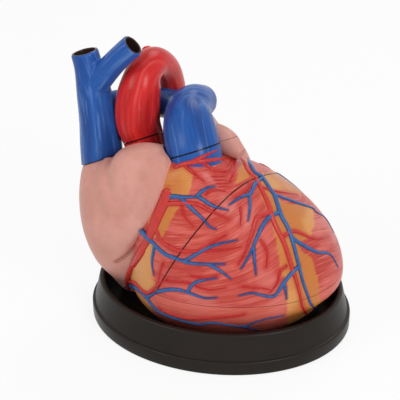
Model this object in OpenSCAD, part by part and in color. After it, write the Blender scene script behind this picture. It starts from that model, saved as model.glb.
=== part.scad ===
/* [Base] */
// Reach of the base past the ventricles at each end
base_past_ends = 28; // [27:0.5:40]
// Reach of the base past the ventricles at the front and the back
base_past_sides = 21; // [20:0.5:32]
// Height of the base from the table to the rim
base_h = 40; // [36:1:46]
// Height of the foot flange
flange_h = 15; // [12:0.5:20]
// Step in from the flange to the wall above it
flange_step = 2.6; // [1.5:0.1:4]
// Lean of the wall between the step and the rim
wall_lean = 6; // [4:0.1:8]
// Width of the rim
rim_w = 4.5; // [3.5:0.1:6]
// Thickness of the moulded base walls
base_wall = 3; // [2.5:0.1:4]
// Height of the floor that the heart stands on
well_floor = 14; // [12:0.5:18]
// Thickness of the cover plate under the base
cover_t = 3; // [2:0.1:4]
// Thickness of the felt sheet under the cover plate
felt_t = 1.5; // [1:0.1:3]
// Gap round the cover plate and the felt sheet
cover_gap = 0.4; // [0.2:0.1:1]

/* [Heart] */
// Length of the ventricles at their widest level
heart_len = 200; // [194:1:206]
// Depth of the ventricles at their widest level
heart_depth = 168; // [162:1:174]
// Height of the muscle above the base floor
heart_rise = 176; // [170:1:182]
// Turn of the ventricles about the upright axis
heart_turn = 15; // [10:1:20]
// Thickness of the wall between the two ventricles
septum_t = 12; // [9:0.5:15]
// Wall of the atria
atrium_wall = 5; // [4:0.5:7]

/* [Great vessels] */
// Wall of every great vessel
vessel_wall = 3; // [2.5:0.1:4]
// Outer radius of the upper vena cava
cava_r = 18; // [16:0.5:19]
// Outer radius of the rising aorta
aorta_r = 21; // [19:0.5:22]
// Outer radius of the pulmonary trunk
trunk_r = 25; // [23:0.5:26]
// Outer radius of the lower vena cava
lower_cava_r = 15; // [13:0.5:17]
// Outer radius of the pulmonary veins
lung_vein_r = 9; // [7:0.5:10]

/* [Valves and cords] */
// Radius of the ring of the three-leaf valve
right_valve_r = 19; // [16:0.5:21]
// Radius of the ring of the two-leaf valve
left_valve_r = 16; // [13:0.5:18]
// Depth that the leaves hang below their ring
leaf_drop = 13; // [9:0.5:16]
// Thickness of a leaf
leaf_t = 1.2; // [0.8:0.1:2]
// Radius of a heart string
string_r = 0.8; // [0.5:0.1:1.2]

/* [Coronary vessels] */
// Radius of the raised coronary arteries
artery_r = 2.6; // [1.8:0.1:3.5]
// Radius of the raised coronary veins
vein_r = 2.4; // [1.6:0.1:3.2]

/* [Parting and fasteners] */
// Gap left at every parting face
part_gap = 0.4; // [0.3:0.1:0.8]
// Level of the lower parting face of the front wall
front_floor = 62; // [58:1:66]
// Radius of the locating pins
pin_r = 3; // [2:0.1:4]
// Length of a locating pin that stands out of its face
pin_reach = 10; // [6:0.5:14]
// Gap between a locating pin and its socket
pin_gap = 0.25; // [0.1:0.05:0.5]
// Wall of a pin socket
socket_wall = 1.5; // [1:0.1:2.5]
// Shank radius of the bolts that hold the heart down
bolt_r = 3; // [2:0.1:4]
// Shank radius of the cover screws
screw_r = 1.8; // [1.2:0.1:2.5]

/* [Hidden] */

// Length and depth of the base over the foot flange
base_len = heart_len + 2 * base_past_ends;
base_depth = heart_depth + 2 * base_past_sides;

// Size of the heart that the rows below are drawn for
drawn_len = 200;
drawn_depth = 168;
drawn_rise = 176;
drawn_floor = 14;
grow = [heart_len / drawn_len, heart_depth / drawn_depth, heart_rise / drawn_rise];
function at(p) = [p[0] * grow[0], p[1] * grow[1], well_floor + (p[2] - drawn_floor) * grow[2]];

// Reach of a cutting block, past the whole model
far = 420;
// Overlap that keeps a cut clear of the face it starts from
bite = 1;

// Levels of the solid forms: [height, centre x, centre y, half length, half depth]
muscle_rows = [
  [14, 9, 0, 76, 58], [27, 10, 1, 88, 70], [40, 11, 1, 95.5, 78.5], [54, 15, 3, 103, 83.5],
  [80, 13, 2, 100, 84], [110, 4, -2, 91, 77], [140, -9, -9, 75, 65], [163, -16, -20, 54, 48],
  [178, -16, -32, 36, 31], [187, -14, -40, 20, 17], [190, -13, -42, 8, 7]];
atrium_rows = [
  [22, -80, 2, 23, 26], [40, -81, -1, 31, 34], [60, -81, -6, 43, 42], [90, -80, -10, 52, 48],
  [120, -80, -12, 54, 48], [145, -82, -12, 50, 44], [158, -86, -12, 42, 36], [167, -92, -12, 27, 24],
  [173, -97, -12, 10, 9]];
auricle_rows = [
  [84, -92, -45, 6, 5], [96, -86, -47, 18, 14], [118, -74, -45, 29, 21], [143, -64, -42, 33, 24],
  [163, -60, -40, 35, 26], [178, -57, -40, 34, 24], [189, -56, -40, 25, 18], [195, -55, -40, 9, 7]];
left_atrium_rows = [
  [100, -24, 48, 26, 16], [115, -27, 48, 42, 26], [135, -30, 46, 48, 30], [152, -32, 44, 46, 29],
  [166, -34, 42, 36, 25], [178, -36, 41, 25, 21], [190, -38, 43, 17, 15], [196, -38, 44, 7, 6]];

// Centre lines and radii of the round forms: [x, y, z, radius]
left_auricle_path = [
  [-20, 12, 186, 9], [-8, 8, 188, 13], [5, 2, 186.5, 12.5], [14, -3, 184, 9.5], [22, -6, 181, 6]];
aorta_path = [
  [-62, -4, 150, aorta_r - 3], [-74, -2, 183, aorta_r - 1.5], [-79, -2, 200, aorta_r], [-79, -1, 216, aorta_r],
  [-77, 1, 232, aorta_r - 1.5], [-75, 9, 245, aorta_r - 4.5], [-71, 26, 248, aorta_r - 6],
  [-67, 46, 234, aorta_r - 7], [-66, 60, 212, aorta_r - 7.5], [-66, 66, 190, aorta_r - 8]];
trunk_path = [
  [-10, -36, 163, trunk_r - 1], [-17, -28, 190, trunk_r], [-26, -12, 206, trunk_r - 1],
  [-32, 4, 214, trunk_r - 5], [-31, 18, 216, trunk_r - 8], [-28, 40, 208, trunk_r - 10]];
right_lung_path = [
  [-34, 6, 212, trunk_r - 9], [-52, 22, 209, trunk_r - 10.5], [-76, 32, 205, trunk_r - 11],
  [-98, 34, 201, trunk_r - 11.5], [-116, 30, 198, trunk_r - 12]];
cava_path = [
  [-113, -10, 148, cava_r + 2], [-113.5, -10, 175, cava_r + 2], [-115, -9, 200, cava_r + 0.5],
  [-119, -7, 225, cava_r - 1.5], [-124, -5, 250, cava_r - 4.5], [-128, -4, 265, cava_r - 5]];
left_branch_path = [
  [-117, -8, 234, cava_r - 6], [-105, -9, 250, cava_r - 6.5], [-93, -10, 264, cava_r - 7],
  [-78, -10, 279, cava_r - 7]];
lower_cava_path = [
  [-94, 22, 66, lower_cava_r], [-96, 40, 62, lower_cava_r], [-96, 56, 56, lower_cava_r]];
lung_vein_paths = [
  [[-18, 58, 142, lung_vein_r], [-14, 70, 140, lung_vein_r], [-12, 84, 136, lung_vein_r]],
  [[-10, 60, 122, lung_vein_r], [-4, 74, 118, lung_vein_r], [0, 88, 111, lung_vein_r]],
  [[-48, 62, 120, lung_vein_r], [-55, 76, 118, lung_vein_r], [-60, 90, 114, lung_vein_r]],
  [[-42, 64, 99, lung_vein_r], [-48, 76, 96, lung_vein_r], [-53, 90, 91, lung_vein_r]]];
arch_branch_paths = [
  [[-75, 15, 247, 7], [-85, 21, 253, 7], [-94, 26, 257, 7]],
  [[-71, 28, 247, 6], [-78, 34, 252, 6], [-84, 39, 254, 6]],
  [[-70, 40, 240, 6], [-76, 47, 244, 6], [-82, 54, 247, 6]]];

// Centre lines and radii of the chambers and of the ways between them
right_chamber_path = [
  [-64, -24, 94, 17], [-44, -34, 96, 25], [-12, -44, 98, 31], [24, -42, 93, 28], [52, -33, 87, 21],
  [70, -25, 84, 8]];
left_chamber_path = [
  [-2, 25, 130, 12], [12, 27, 125, 24], [38, 24, 113, 31], [64, 17, 101, 27], [83, 11, 93, 17],
  [93, 8, 89, 6]];
right_outlet_path = [
  [-8, -46, 104, 18], [-8, -44, 136, 20], [-11, -37, 163, trunk_r - 4], [-17, -28, 188, trunk_r - 3]];
left_outlet_path = [[8, 22, 128, 14], [-20, 13, 146, 15], [-46, 2, 160, 16], [-70, -3, 180, 17]];

// Room beside the cap for the first stretch of its way off
lift_room = 10;

// Parting faces. The cap lifts off along cap_way, the front wall pulls off along wall_way.
cap_lean = 29;
cap_heading = 143;
cap_way = [sin(cap_lean) * cos(cap_heading), sin(cap_lean) * sin(cap_heading), cos(cap_lean)];
wall_heading = -21;
wall_overhang = 27;
wall_way = [cos(wall_heading), sin(wall_heading), 0];
trunk_seat = [-17, -28, 190];
aorta_seat = [-74, -2, 183];
cava_seat = [-115, -10, 158];
wall_seat = [8, -60, 140];
rear_seat = [60, 36, 100];

// Middles of the valve rings
right_valve_place = [-76, -24, 95];
left_valve_place = [-14, 43, 136];
trunk_valve_place = [-14, -33, 175];
aortic_valve_place = [-68, -3, 168];

// Places of the pins and bolts
wall_pin_places = [[11.5, -8, 110], [0, 20, 70], [26, -12, 140]];
cap_pin_places = [[-67, 46, 143.2], [-12, 36, 171.5]];
bolt_places = [[-30, 0, 14], [50, 10, 14]];
// Bosses in the hollow of the left atrium that the pins and sockets of the cap stand in
boss_r = 8;
boss_len = 16;

// Smooth curve through rows of numbers, t from 0 to the last row
function row_at(rows, i) = rows[max(0, min(len(rows) - 1, i))];
function blend(a, b, c, d, t) =
  0.5 * (2 * b + (c - a) * t + (2 * a - 5 * b + 4 * c - d) * t * t + (3 * b - a - 3 * c + d) * t * t * t);
function along(rows, t) =
  let (i = min(floor(t), len(rows) - 2))
  blend(row_at(rows, i - 1), rows[i], rows[i + 1], row_at(rows, i + 2), t - i);

// A point on one level of a stacked form
squareness = 2.2;
function power(v, e) = sign(v) * pow(abs(v), e);
function level_point(row, angle, turn, inset = 0) =
  let (x = (row[3] * grow[0] - inset) * power(cos(angle), 2 / squareness),
       y = (row[4] * grow[1] - inset) * power(sin(angle), 2 / squareness))
  at([row[1], row[2], row[0]]) + [x * cos(turn) - y * sin(turn), x * sin(turn) + y * cos(turn), 0];

// Closed skin over rings of equal length
module skin(rings) {
  n = len(rings[0]);
  m = len(rings);
  sides = [for (j = [0:m - 2]) for (i = [0:n - 1]) let (k = (i + 1) % n)
    each [[j * n + i, (j + 1) * n + i, j * n + k], [j * n + k, (j + 1) * n + i, (j + 1) * n + k]]];
  bottom = [for (i = [0:n - 1]) i];
  top = [for (i = [n - 1:-1:0]) (m - 1) * n + i];
  polyhedron(points = [for (r = rings) each r], faces = concat(sides, [bottom, top]));
}

// A form stacked from levels
module stack(rows, turn = 0, sides = 24, steps = 10) {
  skin([for (j = [0:steps]) let (row = along(rows, (len(rows) - 1) * j / steps))
    [for (i = [0:sides - 1]) level_point(row, 360 * i / sides, turn)]]);
}

// The hollow of a stacked form, one wall inside it
function hollow_rows(rows, wall) =
  let (low = rows[0][0], high = rows[len(rows) - 1][0], mid = (low + high) / 2,
       keep = 1 - 2 * wall / (high - low))
  [for (r = rows) [mid + (r[0] - mid) * keep, r[1], r[2], max(r[3] - wall, 2), max(r[4] - wall, 2)]];
module hollow(rows) stack(hollow_rows(rows, atrium_wall), sides = 18, steps = 7);

// A round form swept along rows of [x, y, z, radius], longer than them by reach at both ends
function unit(v) = v / norm(v);
module tube(rows, extra = 0, reach = 0, sides = 16, steps = 9) {
  path = [for (j = [0:steps]) along(rows, (len(rows) - 1) * j / steps)];
  spots = [for (p = path) [p[0], p[1], p[2]]];
  skin([for (j = [0:steps])
    let (ahead = unit(spots[min(j + 1, steps)] - spots[max(j - 1, 0)]),
         side = unit(cross(ahead, [0.3, -1, 0.1])), up = cross(side, ahead), r = path[j][3] + extra,
         spot = spots[j] + ahead * (j == 0 ? -reach : j == steps ? reach : 0))
    [for (i = [0:sides - 1]) spot + r * (side * cos(360 * i / sides) - up * sin(360 * i / sides))]]);
}
module sweep(rows, extra = 0, reach = 0, sides = 16, steps = 9) {
  tube([for (r = rows) [each at(r), r[3]]], extra, reach, sides, steps);
}

// A short branch
branch_wall = 2;
module stub(rows, extra = 0, reach = 0) {
  sweep(rows, extra, reach, sides = 12, steps = 2);
}

// A pocket with round ends, for the chambers
module pocket(rows, extra = 0) {
  sweep(rows, extra, sides = 14, steps = 7);
}

// Turns the upright axis into a given direction
module face_way(way) rotate([0, acos(way[2] / norm(way)), atan2(way[1], way[0])]) children();

// All space past a parting face
module past(place, way, gap = 0) {
  translate(at(place) + unit(way) * gap) face_way(way)
    translate([-far, -far, 0]) cube([2 * far, 2 * far, far]);
}
module past_wall(gap) {
  intersection() {
    past(wall_seat, cos(wall_overhang) * wall_way - [0, 0, sin(wall_overhang)], gap);
    translate([-far, -far, front_floor + gap]) cube([2 * far, 2 * far, far]);
    past(rear_seat, [sin(wall_heading), -cos(wall_heading), 0], gap);
  }
}
module past_trunk(gap) past(trunk_seat, cap_way, gap);
module past_aorta(gap) past(aorta_seat, cap_way, gap);
module past_cava(gap) past(cava_seat, cap_way, gap);

// One closed mesh out of a group of skins
module moulded() resize([0, 0, 0]) children();

// Solid forms of the heart
module muscle() stack(muscle_rows, heart_turn, sides = 36, steps = 13);
module right_atrium_form() stack(atrium_rows);
module right_auricle_form() stack(auricle_rows);
module left_atrium_form() stack(left_atrium_rows);
module aorta_form(extra = 0, reach = 0) sweep(aorta_path, extra, reach, steps = 17);
module trunk_form(extra = 0, reach = 0) {
  sweep(trunk_path, extra, reach, sides = 20, steps = 11);
  sweep(right_lung_path, extra, reach, steps = 7);
}
module cava_form(extra = 0, reach = 0) {
  sweep(cava_path, extra, reach);
  sweep(left_branch_path, extra, reach, steps = 5);
}
// Width of the hole outside the radius of a valve ring, which its bead bites into
valve_seat = 1.2;
// Length of the straight ways from the atria through the valve rings
right_way_len = 44;
left_way_len = 52;
right_valve_way = [1, -0.1, 0];
left_valve_way = [0.78, -0.56, -0.24];
trunk_valve_way = [-0.24, 0.32, 0.9];
aortic_valve_way = [-0.3, 0.04, 0.95];
module at_valve(place, way) translate(at(place)) face_way(way) children();

module chambers() {
  difference() {
    pocket(right_chamber_path);
    pocket(left_chamber_path, septum_t);
  }
  pocket(left_chamber_path);
  sweep(right_outlet_path);
  sweep(left_outlet_path);
  at_valve(right_valve_place, right_valve_way)
    cylinder(r = right_valve_r + valve_seat, h = right_way_len, center = true, $fn = 32);
  at_valve(left_valve_place, left_valve_way)
    cylinder(r = left_valve_r + valve_seat, h = left_way_len, center = true, $fn = 32);
}

// Pins and their holes
module wall_pin_group(r, from, to) for (p = wall_pin_places)
  translate(at(p)) face_way(wall_way) translate([0, 0, from]) cylinder(r = r, h = to - from, $fn = 24);
module cap_pin_group(r, from, to) for (p = cap_pin_places)
  translate(at(p)) face_way(cap_way) translate([0, 0, from]) cylinder(r = r, h = to - from, $fn = 24);
pin_root = 12;
socket_r = pin_r + pin_gap + socket_wall;
socket_len = pin_reach + 2;
// The wall pins meet a slanting face, so their sockets start this far past it
socket_start = 4;

// Base
oval_sides = 48;
function oval(inset, z) = [for (i = [0:oval_sides - 1]) let (a = 360 * i / oval_sides)
  [(base_len / 2 - inset) * cos(a), (base_depth / 2 - inset) * sin(a), z]];
module oval_plate(inset, low, t)
  translate([0, 0, low]) linear_extrude(t) polygon([for (p = oval(inset, 0)) [p[0], p[1]]]);
rim_inset = flange_step + wall_lean;
floor_t = base_wall;
shell_foot = felt_t - 0.5;
cover_inset = 4;
well_inset = rim_inset + rim_w + 3;
// Distance of the screw holes inside the base's edge, at the ends and at the sides
screw_inset = [26, 22];
screw_ring = [base_len / 2 - screw_inset[0], base_depth / 2 - screw_inset[1]];
screw_bite = 4;
boss_wall = 3;
screw_places = [for (a = [45, 135, 225, 315]) [screw_ring[0] * cos(a), screw_ring[1] * sin(a)]];
bolt_head_r = bolt_r * 1.8;
bolt_head_h = 3;
// Length of bolt in the insert, and the room round it in the base
bolt_grip = 10;
bolt_room = 0.3;
washer_r = bolt_r * 2.4;
washer_t = 1.2;
insert_r = bolt_r + 2.5;
insert_len = 14;

module felt_sheet() color("dimgray") oval_plate(cover_inset + cover_gap + 2, 0, felt_t);
// Countersunk screw, its head flush with the underside of the cover, with room round it
module cover_screw(room) {
  cylinder(r = screw_r + room, h = cover_t + screw_bite, $fn = 24);
  cylinder(r1 = screw_r * 2 + room, r2 = screw_r + room, h = screw_r, $fn = 24);
}
module base_cover() color("black") difference() {
  oval_plate(cover_inset + cover_gap, felt_t, cover_t);
  for (p = screw_places) translate([p[0], p[1], felt_t]) cover_screw(0.2);
}
module cover_screws() color("silver") for (p = screw_places) translate([p[0], p[1], felt_t]) cover_screw(0);
module base_shell() color([0.12, 0.11, 0.1]) moulded() difference() {
  union() {
    difference() {
      skin([oval(0.8, shell_foot), oval(0, shell_foot + 1), oval(0, flange_h - 1), oval(0.8, flange_h),
        oval(flange_step, flange_h + 0.4), oval(rim_inset - 0.4, base_h - 1.2), oval(rim_inset + 0.8, base_h),
        oval(rim_inset + rim_w - 0.8, base_h), oval(rim_inset + rim_w, base_h - 1),
        oval(well_inset, well_floor)]);
      skin([oval(cover_inset, shell_foot - bite), oval(cover_inset, felt_t + cover_t)]);
      skin([oval(cover_inset + base_wall, shell_foot), oval(cover_inset + base_wall, flange_h - 4),
        oval(well_inset - 1, well_floor - floor_t)]);
    }
    for (p = screw_places) translate([p[0], p[1], felt_t + cover_t])
      cylinder(r = screw_r + boss_wall, h = well_floor - floor_t / 2 - felt_t - cover_t, $fn = 20);
  }
  for (p = screw_places) translate([p[0], p[1], felt_t])
    cylinder(r = screw_r, h = cover_t + screw_bite, $fn = 20);
  for (p = bolt_places) translate([at(p)[0], at(p)[1], 0])
    cylinder(r = bolt_r + bolt_room, h = base_h, $fn = 20);
}
module heart_bolts() color("silver") for (p = bolt_places) translate([at(p)[0], at(p)[1], 0]) {
  translate([0, 0, well_floor - floor_t - washer_t])
    cylinder(r = bolt_r, h = floor_t + washer_t + bolt_grip, $fn = 24);
  translate([0, 0, well_floor - floor_t - washer_t - bolt_head_h])
    cylinder(r = bolt_head_r, h = bolt_head_h, $fn = 6);
}
module bolt_washers() color("silver") for (p = bolt_places) translate(at(p) - [0, 0, floor_t + washer_t])
  difference() {
    cylinder(r = washer_r, h = washer_t, $fn = 32);
    translate([0, 0, -bite]) cylinder(r = bolt_r + bolt_room, h = washer_t + 2 * bite, $fn = 24);
  }
module bolt_inserts() color("goldenrod") for (p = bolt_places) translate(at(p))
  difference() {
    cylinder(r = insert_r, h = insert_len, $fn = 32);
    translate([0, 0, -bite]) cylinder(r = bolt_r, h = insert_len + 2 * bite, $fn = 24);
  }

// Fixed part of the heart
module ventricles() color([0.86, 0.4, 0.34]) moulded() difference() {
  muscle();
  chambers();
  past_wall(0);
  past_trunk(0);
  for (p = bolt_places) translate(at(p) - [0, 0, bite]) cylinder(r = insert_r, h = insert_len + bite, $fn = 32);
  wall_pin_group(pin_r, -pin_root, socket_start);
  cap_pin_group(pin_r, -pin_root, bite);
}

module right_atrium() color([0.9, 0.66, 0.58]) moulded() difference() {
  right_atrium_form();
  muscle();
  hollow(atrium_rows);
  sweep(cava_path, -vessel_wall, bite);
  past_cava(0);
  stub(lower_cava_path);
  aorta_form(part_gap);
  hull() {
    left_atrium_form();
    translate(lift_room * cap_way) left_atrium_form();
  }
}
module right_auricle() color([0.93, 0.7, 0.62]) moulded() difference() {
  right_auricle_form();
  muscle();
  right_atrium_form();
  aorta_form(part_gap);
  for (s = [0, 0.5, 1]) translate(s * lift_room * cap_way) sweep(trunk_path, part_gap);
  sweep(cava_path, part_gap);
}
module left_atrium() color([0.93, 0.7, 0.62]) moulded() difference() {
  union() {
    difference() {
      left_atrium_form();
      hollow(left_atrium_rows);
    }
    intersection() {
      left_atrium_form();
      cap_pin_group(boss_r, -boss_len, 0);
    }
  }
  muscle();
  past_trunk(0);
  aorta_form();
  for (v = lung_vein_paths) stub(v, -vessel_wall, 6);
  cap_pin_group(pin_r, -pin_root, bite);
}
module left_auricle() color([0.93, 0.7, 0.62]) moulded() difference() {
  sweep(left_auricle_path);
  muscle();
  past_trunk(0);
  trunk_form(part_gap);
  left_atrium_form();
}
module lower_vena_cava() color([0.2, 0.32, 0.66]) moulded() difference() {
  stub(lower_cava_path);
  stub(lower_cava_path, -vessel_wall, bite);
  muscle();
}
module pulmonary_veins() color([0.8, 0.25, 0.2]) moulded() difference() {
  for (v = lung_vein_paths) stub(v);
  for (v = lung_vein_paths) stub(v, -vessel_wall, bite);
  left_atrium_form();
  muscle();
  right_atrium_form();
}
module pulmonary_root() color([0.2, 0.36, 0.72]) moulded() difference() {
  sweep(trunk_path, sides = 20, steps = 11);
  sweep(trunk_path, -vessel_wall, bite, sides = 20, steps = 11);
  muscle();
  past_trunk(0);
}
module aortic_root() color([0.8, 0.16, 0.14]) moulded() difference() {
  aorta_form();
  aorta_form(-vessel_wall, bite);
  muscle();
  past_aorta(0);
}

// Valves: the radius of a ring's bead, how far the leaves bite into it and the angle left open between leaves
bead_r = 1.6;
leaf_bite = 0.6;
leaf_gap = 8;
// Radius of the leaves' free edge as a share of the ring's
leaf_edge = 0.5;
module leaf_ring(r, leaves) color([0.92, 0.84, 0.74]) {
  rotate_extrude($fn = 48) translate([r, 0]) circle(r = bead_r, $fn = 16);
  for (i = [0:leaves - 1]) rotate([0, 0, 360 * i / leaves + leaf_gap / 2])
    rotate_extrude(angle = 360 / leaves - leaf_gap, $fn = 48)
      polygon([[r - leaf_bite, 0], [r - leaf_bite - leaf_t, 0], [r * leaf_edge - leaf_t, leaf_drop],
        [r * leaf_edge, leaf_drop]]);
}
// Section of a pocket of an outlet valve, drawn for a ring of radius 1: its underside from the ring to the tip
cusp_section = [[1, 0], [0.72, -0.14], [0.4, 0.05], [0.12, 0.38]];
// Thickness of a pocket near its ring
cusp_t = 1.6;
trunk_valve_r = trunk_r - vessel_wall - 0.4;
aortic_valve_r = aorta_r - vessel_wall - 1.6;
module cusp_ring(r) color([0.92, 0.84, 0.74]) {
  under = [for (p = cusp_section) p * r];
  tip = len(cusp_section) - 1;
  over = [for (i = [tip:-1:0]) under[i] + (i == tip ? [leaf_t, 0] : [0, cusp_t])];
  for (i = [0:2]) rotate([0, 0, 120 * i + leaf_gap / 2])
    rotate_extrude(angle = 120 - leaf_gap, $fn = 48) polygon(concat(under, over));
}
module three_leaf_valve() at_valve(right_valve_place, right_valve_way) leaf_ring(right_valve_r, 3);
module two_leaf_valve() at_valve(left_valve_place, left_valve_way) leaf_ring(left_valve_r, 2);
module pulmonary_valve() at_valve(trunk_valve_place, trunk_valve_way) cusp_ring(trunk_valve_r);
module aortic_valve() at_valve(aortic_valve_place, aortic_valve_way) cusp_ring(aortic_valve_r);

// Papillary muscles and the strings from them to the leaves
right_papillae = [[[-34, -52, 66], [-44, -38, 84]], [[-30, -22, 68], [-42, -22, 86]]];
left_papillae = [[[42, 58, 112], [24, 42, 122]], [[30, 40, 84], [17, 34, 106]]];
papilla_foot_r = 8;
papilla_tip_r = 2.4;
// How deep the feet bite into the chamber's wall
papilla_bite = 4;
// Angle between neighbouring strings of one papillary muscle, round the valve's ring
string_spread = 50;
module papillae(rows) for (r = rows) hull() {
  translate(at(r[0])) sphere(r = papilla_foot_r, $fn = 16);
  translate(at(r[1])) sphere(r = papilla_tip_r, $fn = 12);
}
module right_papillary_muscles() color([0.8, 0.35, 0.3]) moulded() difference() {
  intersection() {
    papillae(right_papillae);
    pocket(right_chamber_path, papilla_bite);
  }
  difference() {
    muscle();
    chambers();
  }
  past_wall(-part_gap);
}
module left_papillary_muscles() color([0.8, 0.35, 0.3]) moulded() difference() {
  intersection() {
    papillae(left_papillae);
    pocket(left_chamber_path, papilla_bite);
  }
  difference() {
    muscle();
    chambers();
  }
  past_wall(-part_gap);
}
module string(from, to) let (way = to - from)
  translate(from) face_way(way) cylinder(r = string_r, h = norm(way), $fn = 8);
// A spot on the free edge of a leaf, by the angle round its ring
function rim_spot(place, way, r, a) = let (w = unit(way), s = unit(cross(w, [0, 0, 1])), u = cross(s, w))
  at(place) + w * (leaf_drop - bite) + (s * cos(a) + u * sin(a)) * (r * leaf_edge + leaf_bite);
module strings(papillae_rows, place, way, r) color("ivory") moulded()
  for (j = [0:1]) for (k = [-1:1])
    string(at(papillae_rows[j][1]), rim_spot(place, way, r, 180 * j + 90 + string_spread * k));
module right_heart_strings() strings(right_papillae, right_valve_place, right_valve_way, right_valve_r);
module left_heart_strings() strings(left_papillae, left_valve_place, left_valve_way, left_valve_r);

// Raised coronary vessels, by [angle round the muscle, height, share of the full radius]
function level_for(z, low = 0, high = len(muscle_rows) - 1, tries = 14) =
  let (mid = (low + high) / 2)
  tries == 0 ? mid : along(muscle_rows, mid)[0] < z ? level_for(z, mid, high, tries - 1)
  : level_for(z, low, mid, tries - 1);
function wall_spot(angle, z) = level_point(along(muscle_rows, level_for(z)), angle, heart_turn);
// A route is [share of the full radius at its start, [[angle round the muscle, height], ...]]
artery_routes = [
  [1, [[377, 171], [350, 163], [327, 148], [310, 117], [304, 84], [308, 44]]],
  [0.8, [[319, 142], [306, 141], [295, 131], [277, 107]]],
  [0.7, [[324, 122], [335, 107], [354, 95]]],
  [1, [[236, 160], [230, 142], [225, 124], [215, 103], [201, 78], [206, 56]]],
  [0.8, [[233, 130], [236, 120], [246, 115], [266, 122], [278, 131]]],
  [0.9, [[206, 56], [220, 47], [245, 43], [270, 50]]],
  [0.8, [[112, 84], [104, 72], [96, 57], [90, 42]]],
  [0.8, [[40, 150], [48, 120], [50, 90], [48, 60]]]];
vein_routes = [
  [1, [[372, 168], [359, 159], [340, 148], [324, 132], [312, 105], [309, 63], [324, 32]]],
  [0.7, [[343, 150], [356, 129], [371, 99]]],
  [0.8, [[318, 118], [329, 98], [341, 78]]],
  [0.8, [[359, 159], [325, 160], [294, 156]]],
  [0.8, [[327, 139], [304, 134], [288, 117], [277, 101]]],
  [0.8, [[310, 95], [298, 86], [289, 72], [272, 74]]],
  [0.8, [[236, 160], [259, 163], [281, 170], [293, 172]]],
  [0.7, [[259, 162], [268, 149], [274, 137]]],
  [0.9, [[220, 122], [230, 114], [241, 107], [258, 105], [270, 106]]],
  [0.7, [[252, 108], [265, 120], [283, 127]]],
  [0.8, [[229, 67], [241, 74], [256, 71], [262, 72]]],
  [0.9, [[206, 60], [217, 48], [233, 40], [254, 38], [275, 38]]],
  [1.3, [[60, 118], [85, 98], [110, 88], [135, 84]]],
  [0.9, [[104, 86], [97, 72], [90, 58], [84, 42]]]];
// Raised coronary vessel, which thins towards its end by this share
route_taper = 0.45;
function route_row(route, share, r, steps, j) =
  let (q = along(route, (len(route) - 1) * j / steps), spot = wall_spot(q[0], q[1]))
  [spot[0], spot[1], spot[2], r * share * (1 - route_taper * j / steps)];
module coronaries(routes, r) for (v = routes)
  let (steps = 2 * (len(v[1]) - 1))
  tube([for (j = [0:steps]) route_row(v[1], v[0], r, steps, j)], sides = 6, steps = steps);
module rear_coronaries(routes, r) moulded() difference() {
  coronaries(routes, r);
  muscle();
  past_wall(0);
  right_atrium_form();
  right_auricle_form();
  left_atrium_form();
  sweep(left_auricle_path);
}
module front_coronaries(routes, r) moulded() difference() {
  intersection() {
    coronaries(routes, r);
    past_wall(part_gap);
  }
  muscle();
}
module rear_coronary_arteries() color([0.82, 0.1, 0.1]) rear_coronaries(artery_routes, artery_r);
module rear_coronary_veins() color([0.15, 0.25, 0.6]) moulded() difference() {
  rear_coronaries(vein_routes, vein_r);
  coronaries(artery_routes, artery_r);
  for (v = lung_vein_paths) stub(v);
}
module front_coronary_arteries() color([0.82, 0.1, 0.1]) front_coronaries(artery_routes, artery_r);
module front_coronary_veins() color([0.15, 0.25, 0.6]) moulded() difference() {
  front_coronaries(vein_routes, vein_r);
  coronaries(artery_routes, artery_r);
}

module wall_pins() color("silver") wall_pin_group(pin_r, -pin_root, socket_start + pin_reach);
module cap_pins() color("silver") cap_pin_group(pin_r, -pin_root, pin_reach);

// Front wall, which pulls off
module front_wall() color([0.88, 0.42, 0.36]) moulded() difference() {
  intersection() {
    muscle();
    past_wall(part_gap);
  }
  chambers();
  wall_pin_group(pin_r + 1, -pin_root, socket_start + bite);
  wall_pin_group(socket_r, socket_start, socket_start + socket_len);
}
module wall_sockets() color("gainsboro") difference() {
  wall_pin_group(socket_r, socket_start, socket_start + socket_len);
  wall_pin_group(pin_r + pin_gap, socket_start - bite, socket_start + socket_len - 1);
}

// Cap of great vessels, which lifts off
module aortic_arch() color([0.84, 0.16, 0.15]) moulded() difference() {
  intersection() {
    aorta_form();
    past_aorta(part_gap);
  }
  aorta_form(-vessel_wall, bite);
  for (b = arch_branch_paths) stub(b, -branch_wall, 4);
}
module arch_branches() color([0.84, 0.16, 0.15]) moulded() difference() {
  for (b = arch_branch_paths) stub(b);
  for (b = arch_branch_paths) stub(b, -branch_wall, bite);
  aorta_form();
}
module pulmonary_trunk() color([0.15, 0.33, 0.68]) moulded() difference() {
  intersection() {
    trunk_form();
    past_trunk(part_gap);
  }
  trunk_form(-vessel_wall, bite);
  aorta_form();
}
module upper_vena_cava() color([0.15, 0.33, 0.68]) moulded() difference() {
  intersection() {
    cava_form();
    past_cava(part_gap);
  }
  cava_form(-vessel_wall, bite);
  aorta_form(part_gap);
}
module left_atrium_roof() color([0.93, 0.7, 0.62]) moulded() difference() {
  intersection() {
    union() {
      difference() {
        left_atrium_form();
        hollow(left_atrium_rows);
      }
      intersection() {
        left_atrium_form();
        cap_pin_group(boss_r, 0, boss_len);
      }
    }
    past_trunk(part_gap);
  }
  trunk_form();
  aorta_form(part_gap);
  cap_pin_group(socket_r, -bite, socket_len);
}
module left_auricle_tip() color([0.93, 0.7, 0.62]) moulded() difference() {
  intersection() {
    sweep(left_auricle_path);
    past_trunk(part_gap);
  }
  left_atrium_form();
  trunk_form();
}
module cap_sockets() color("gainsboro") difference() {
  cap_pin_group(socket_r, part_gap, socket_len);
  cap_pin_group(pin_r + pin_gap, -bite, socket_len - 1);
}

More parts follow.
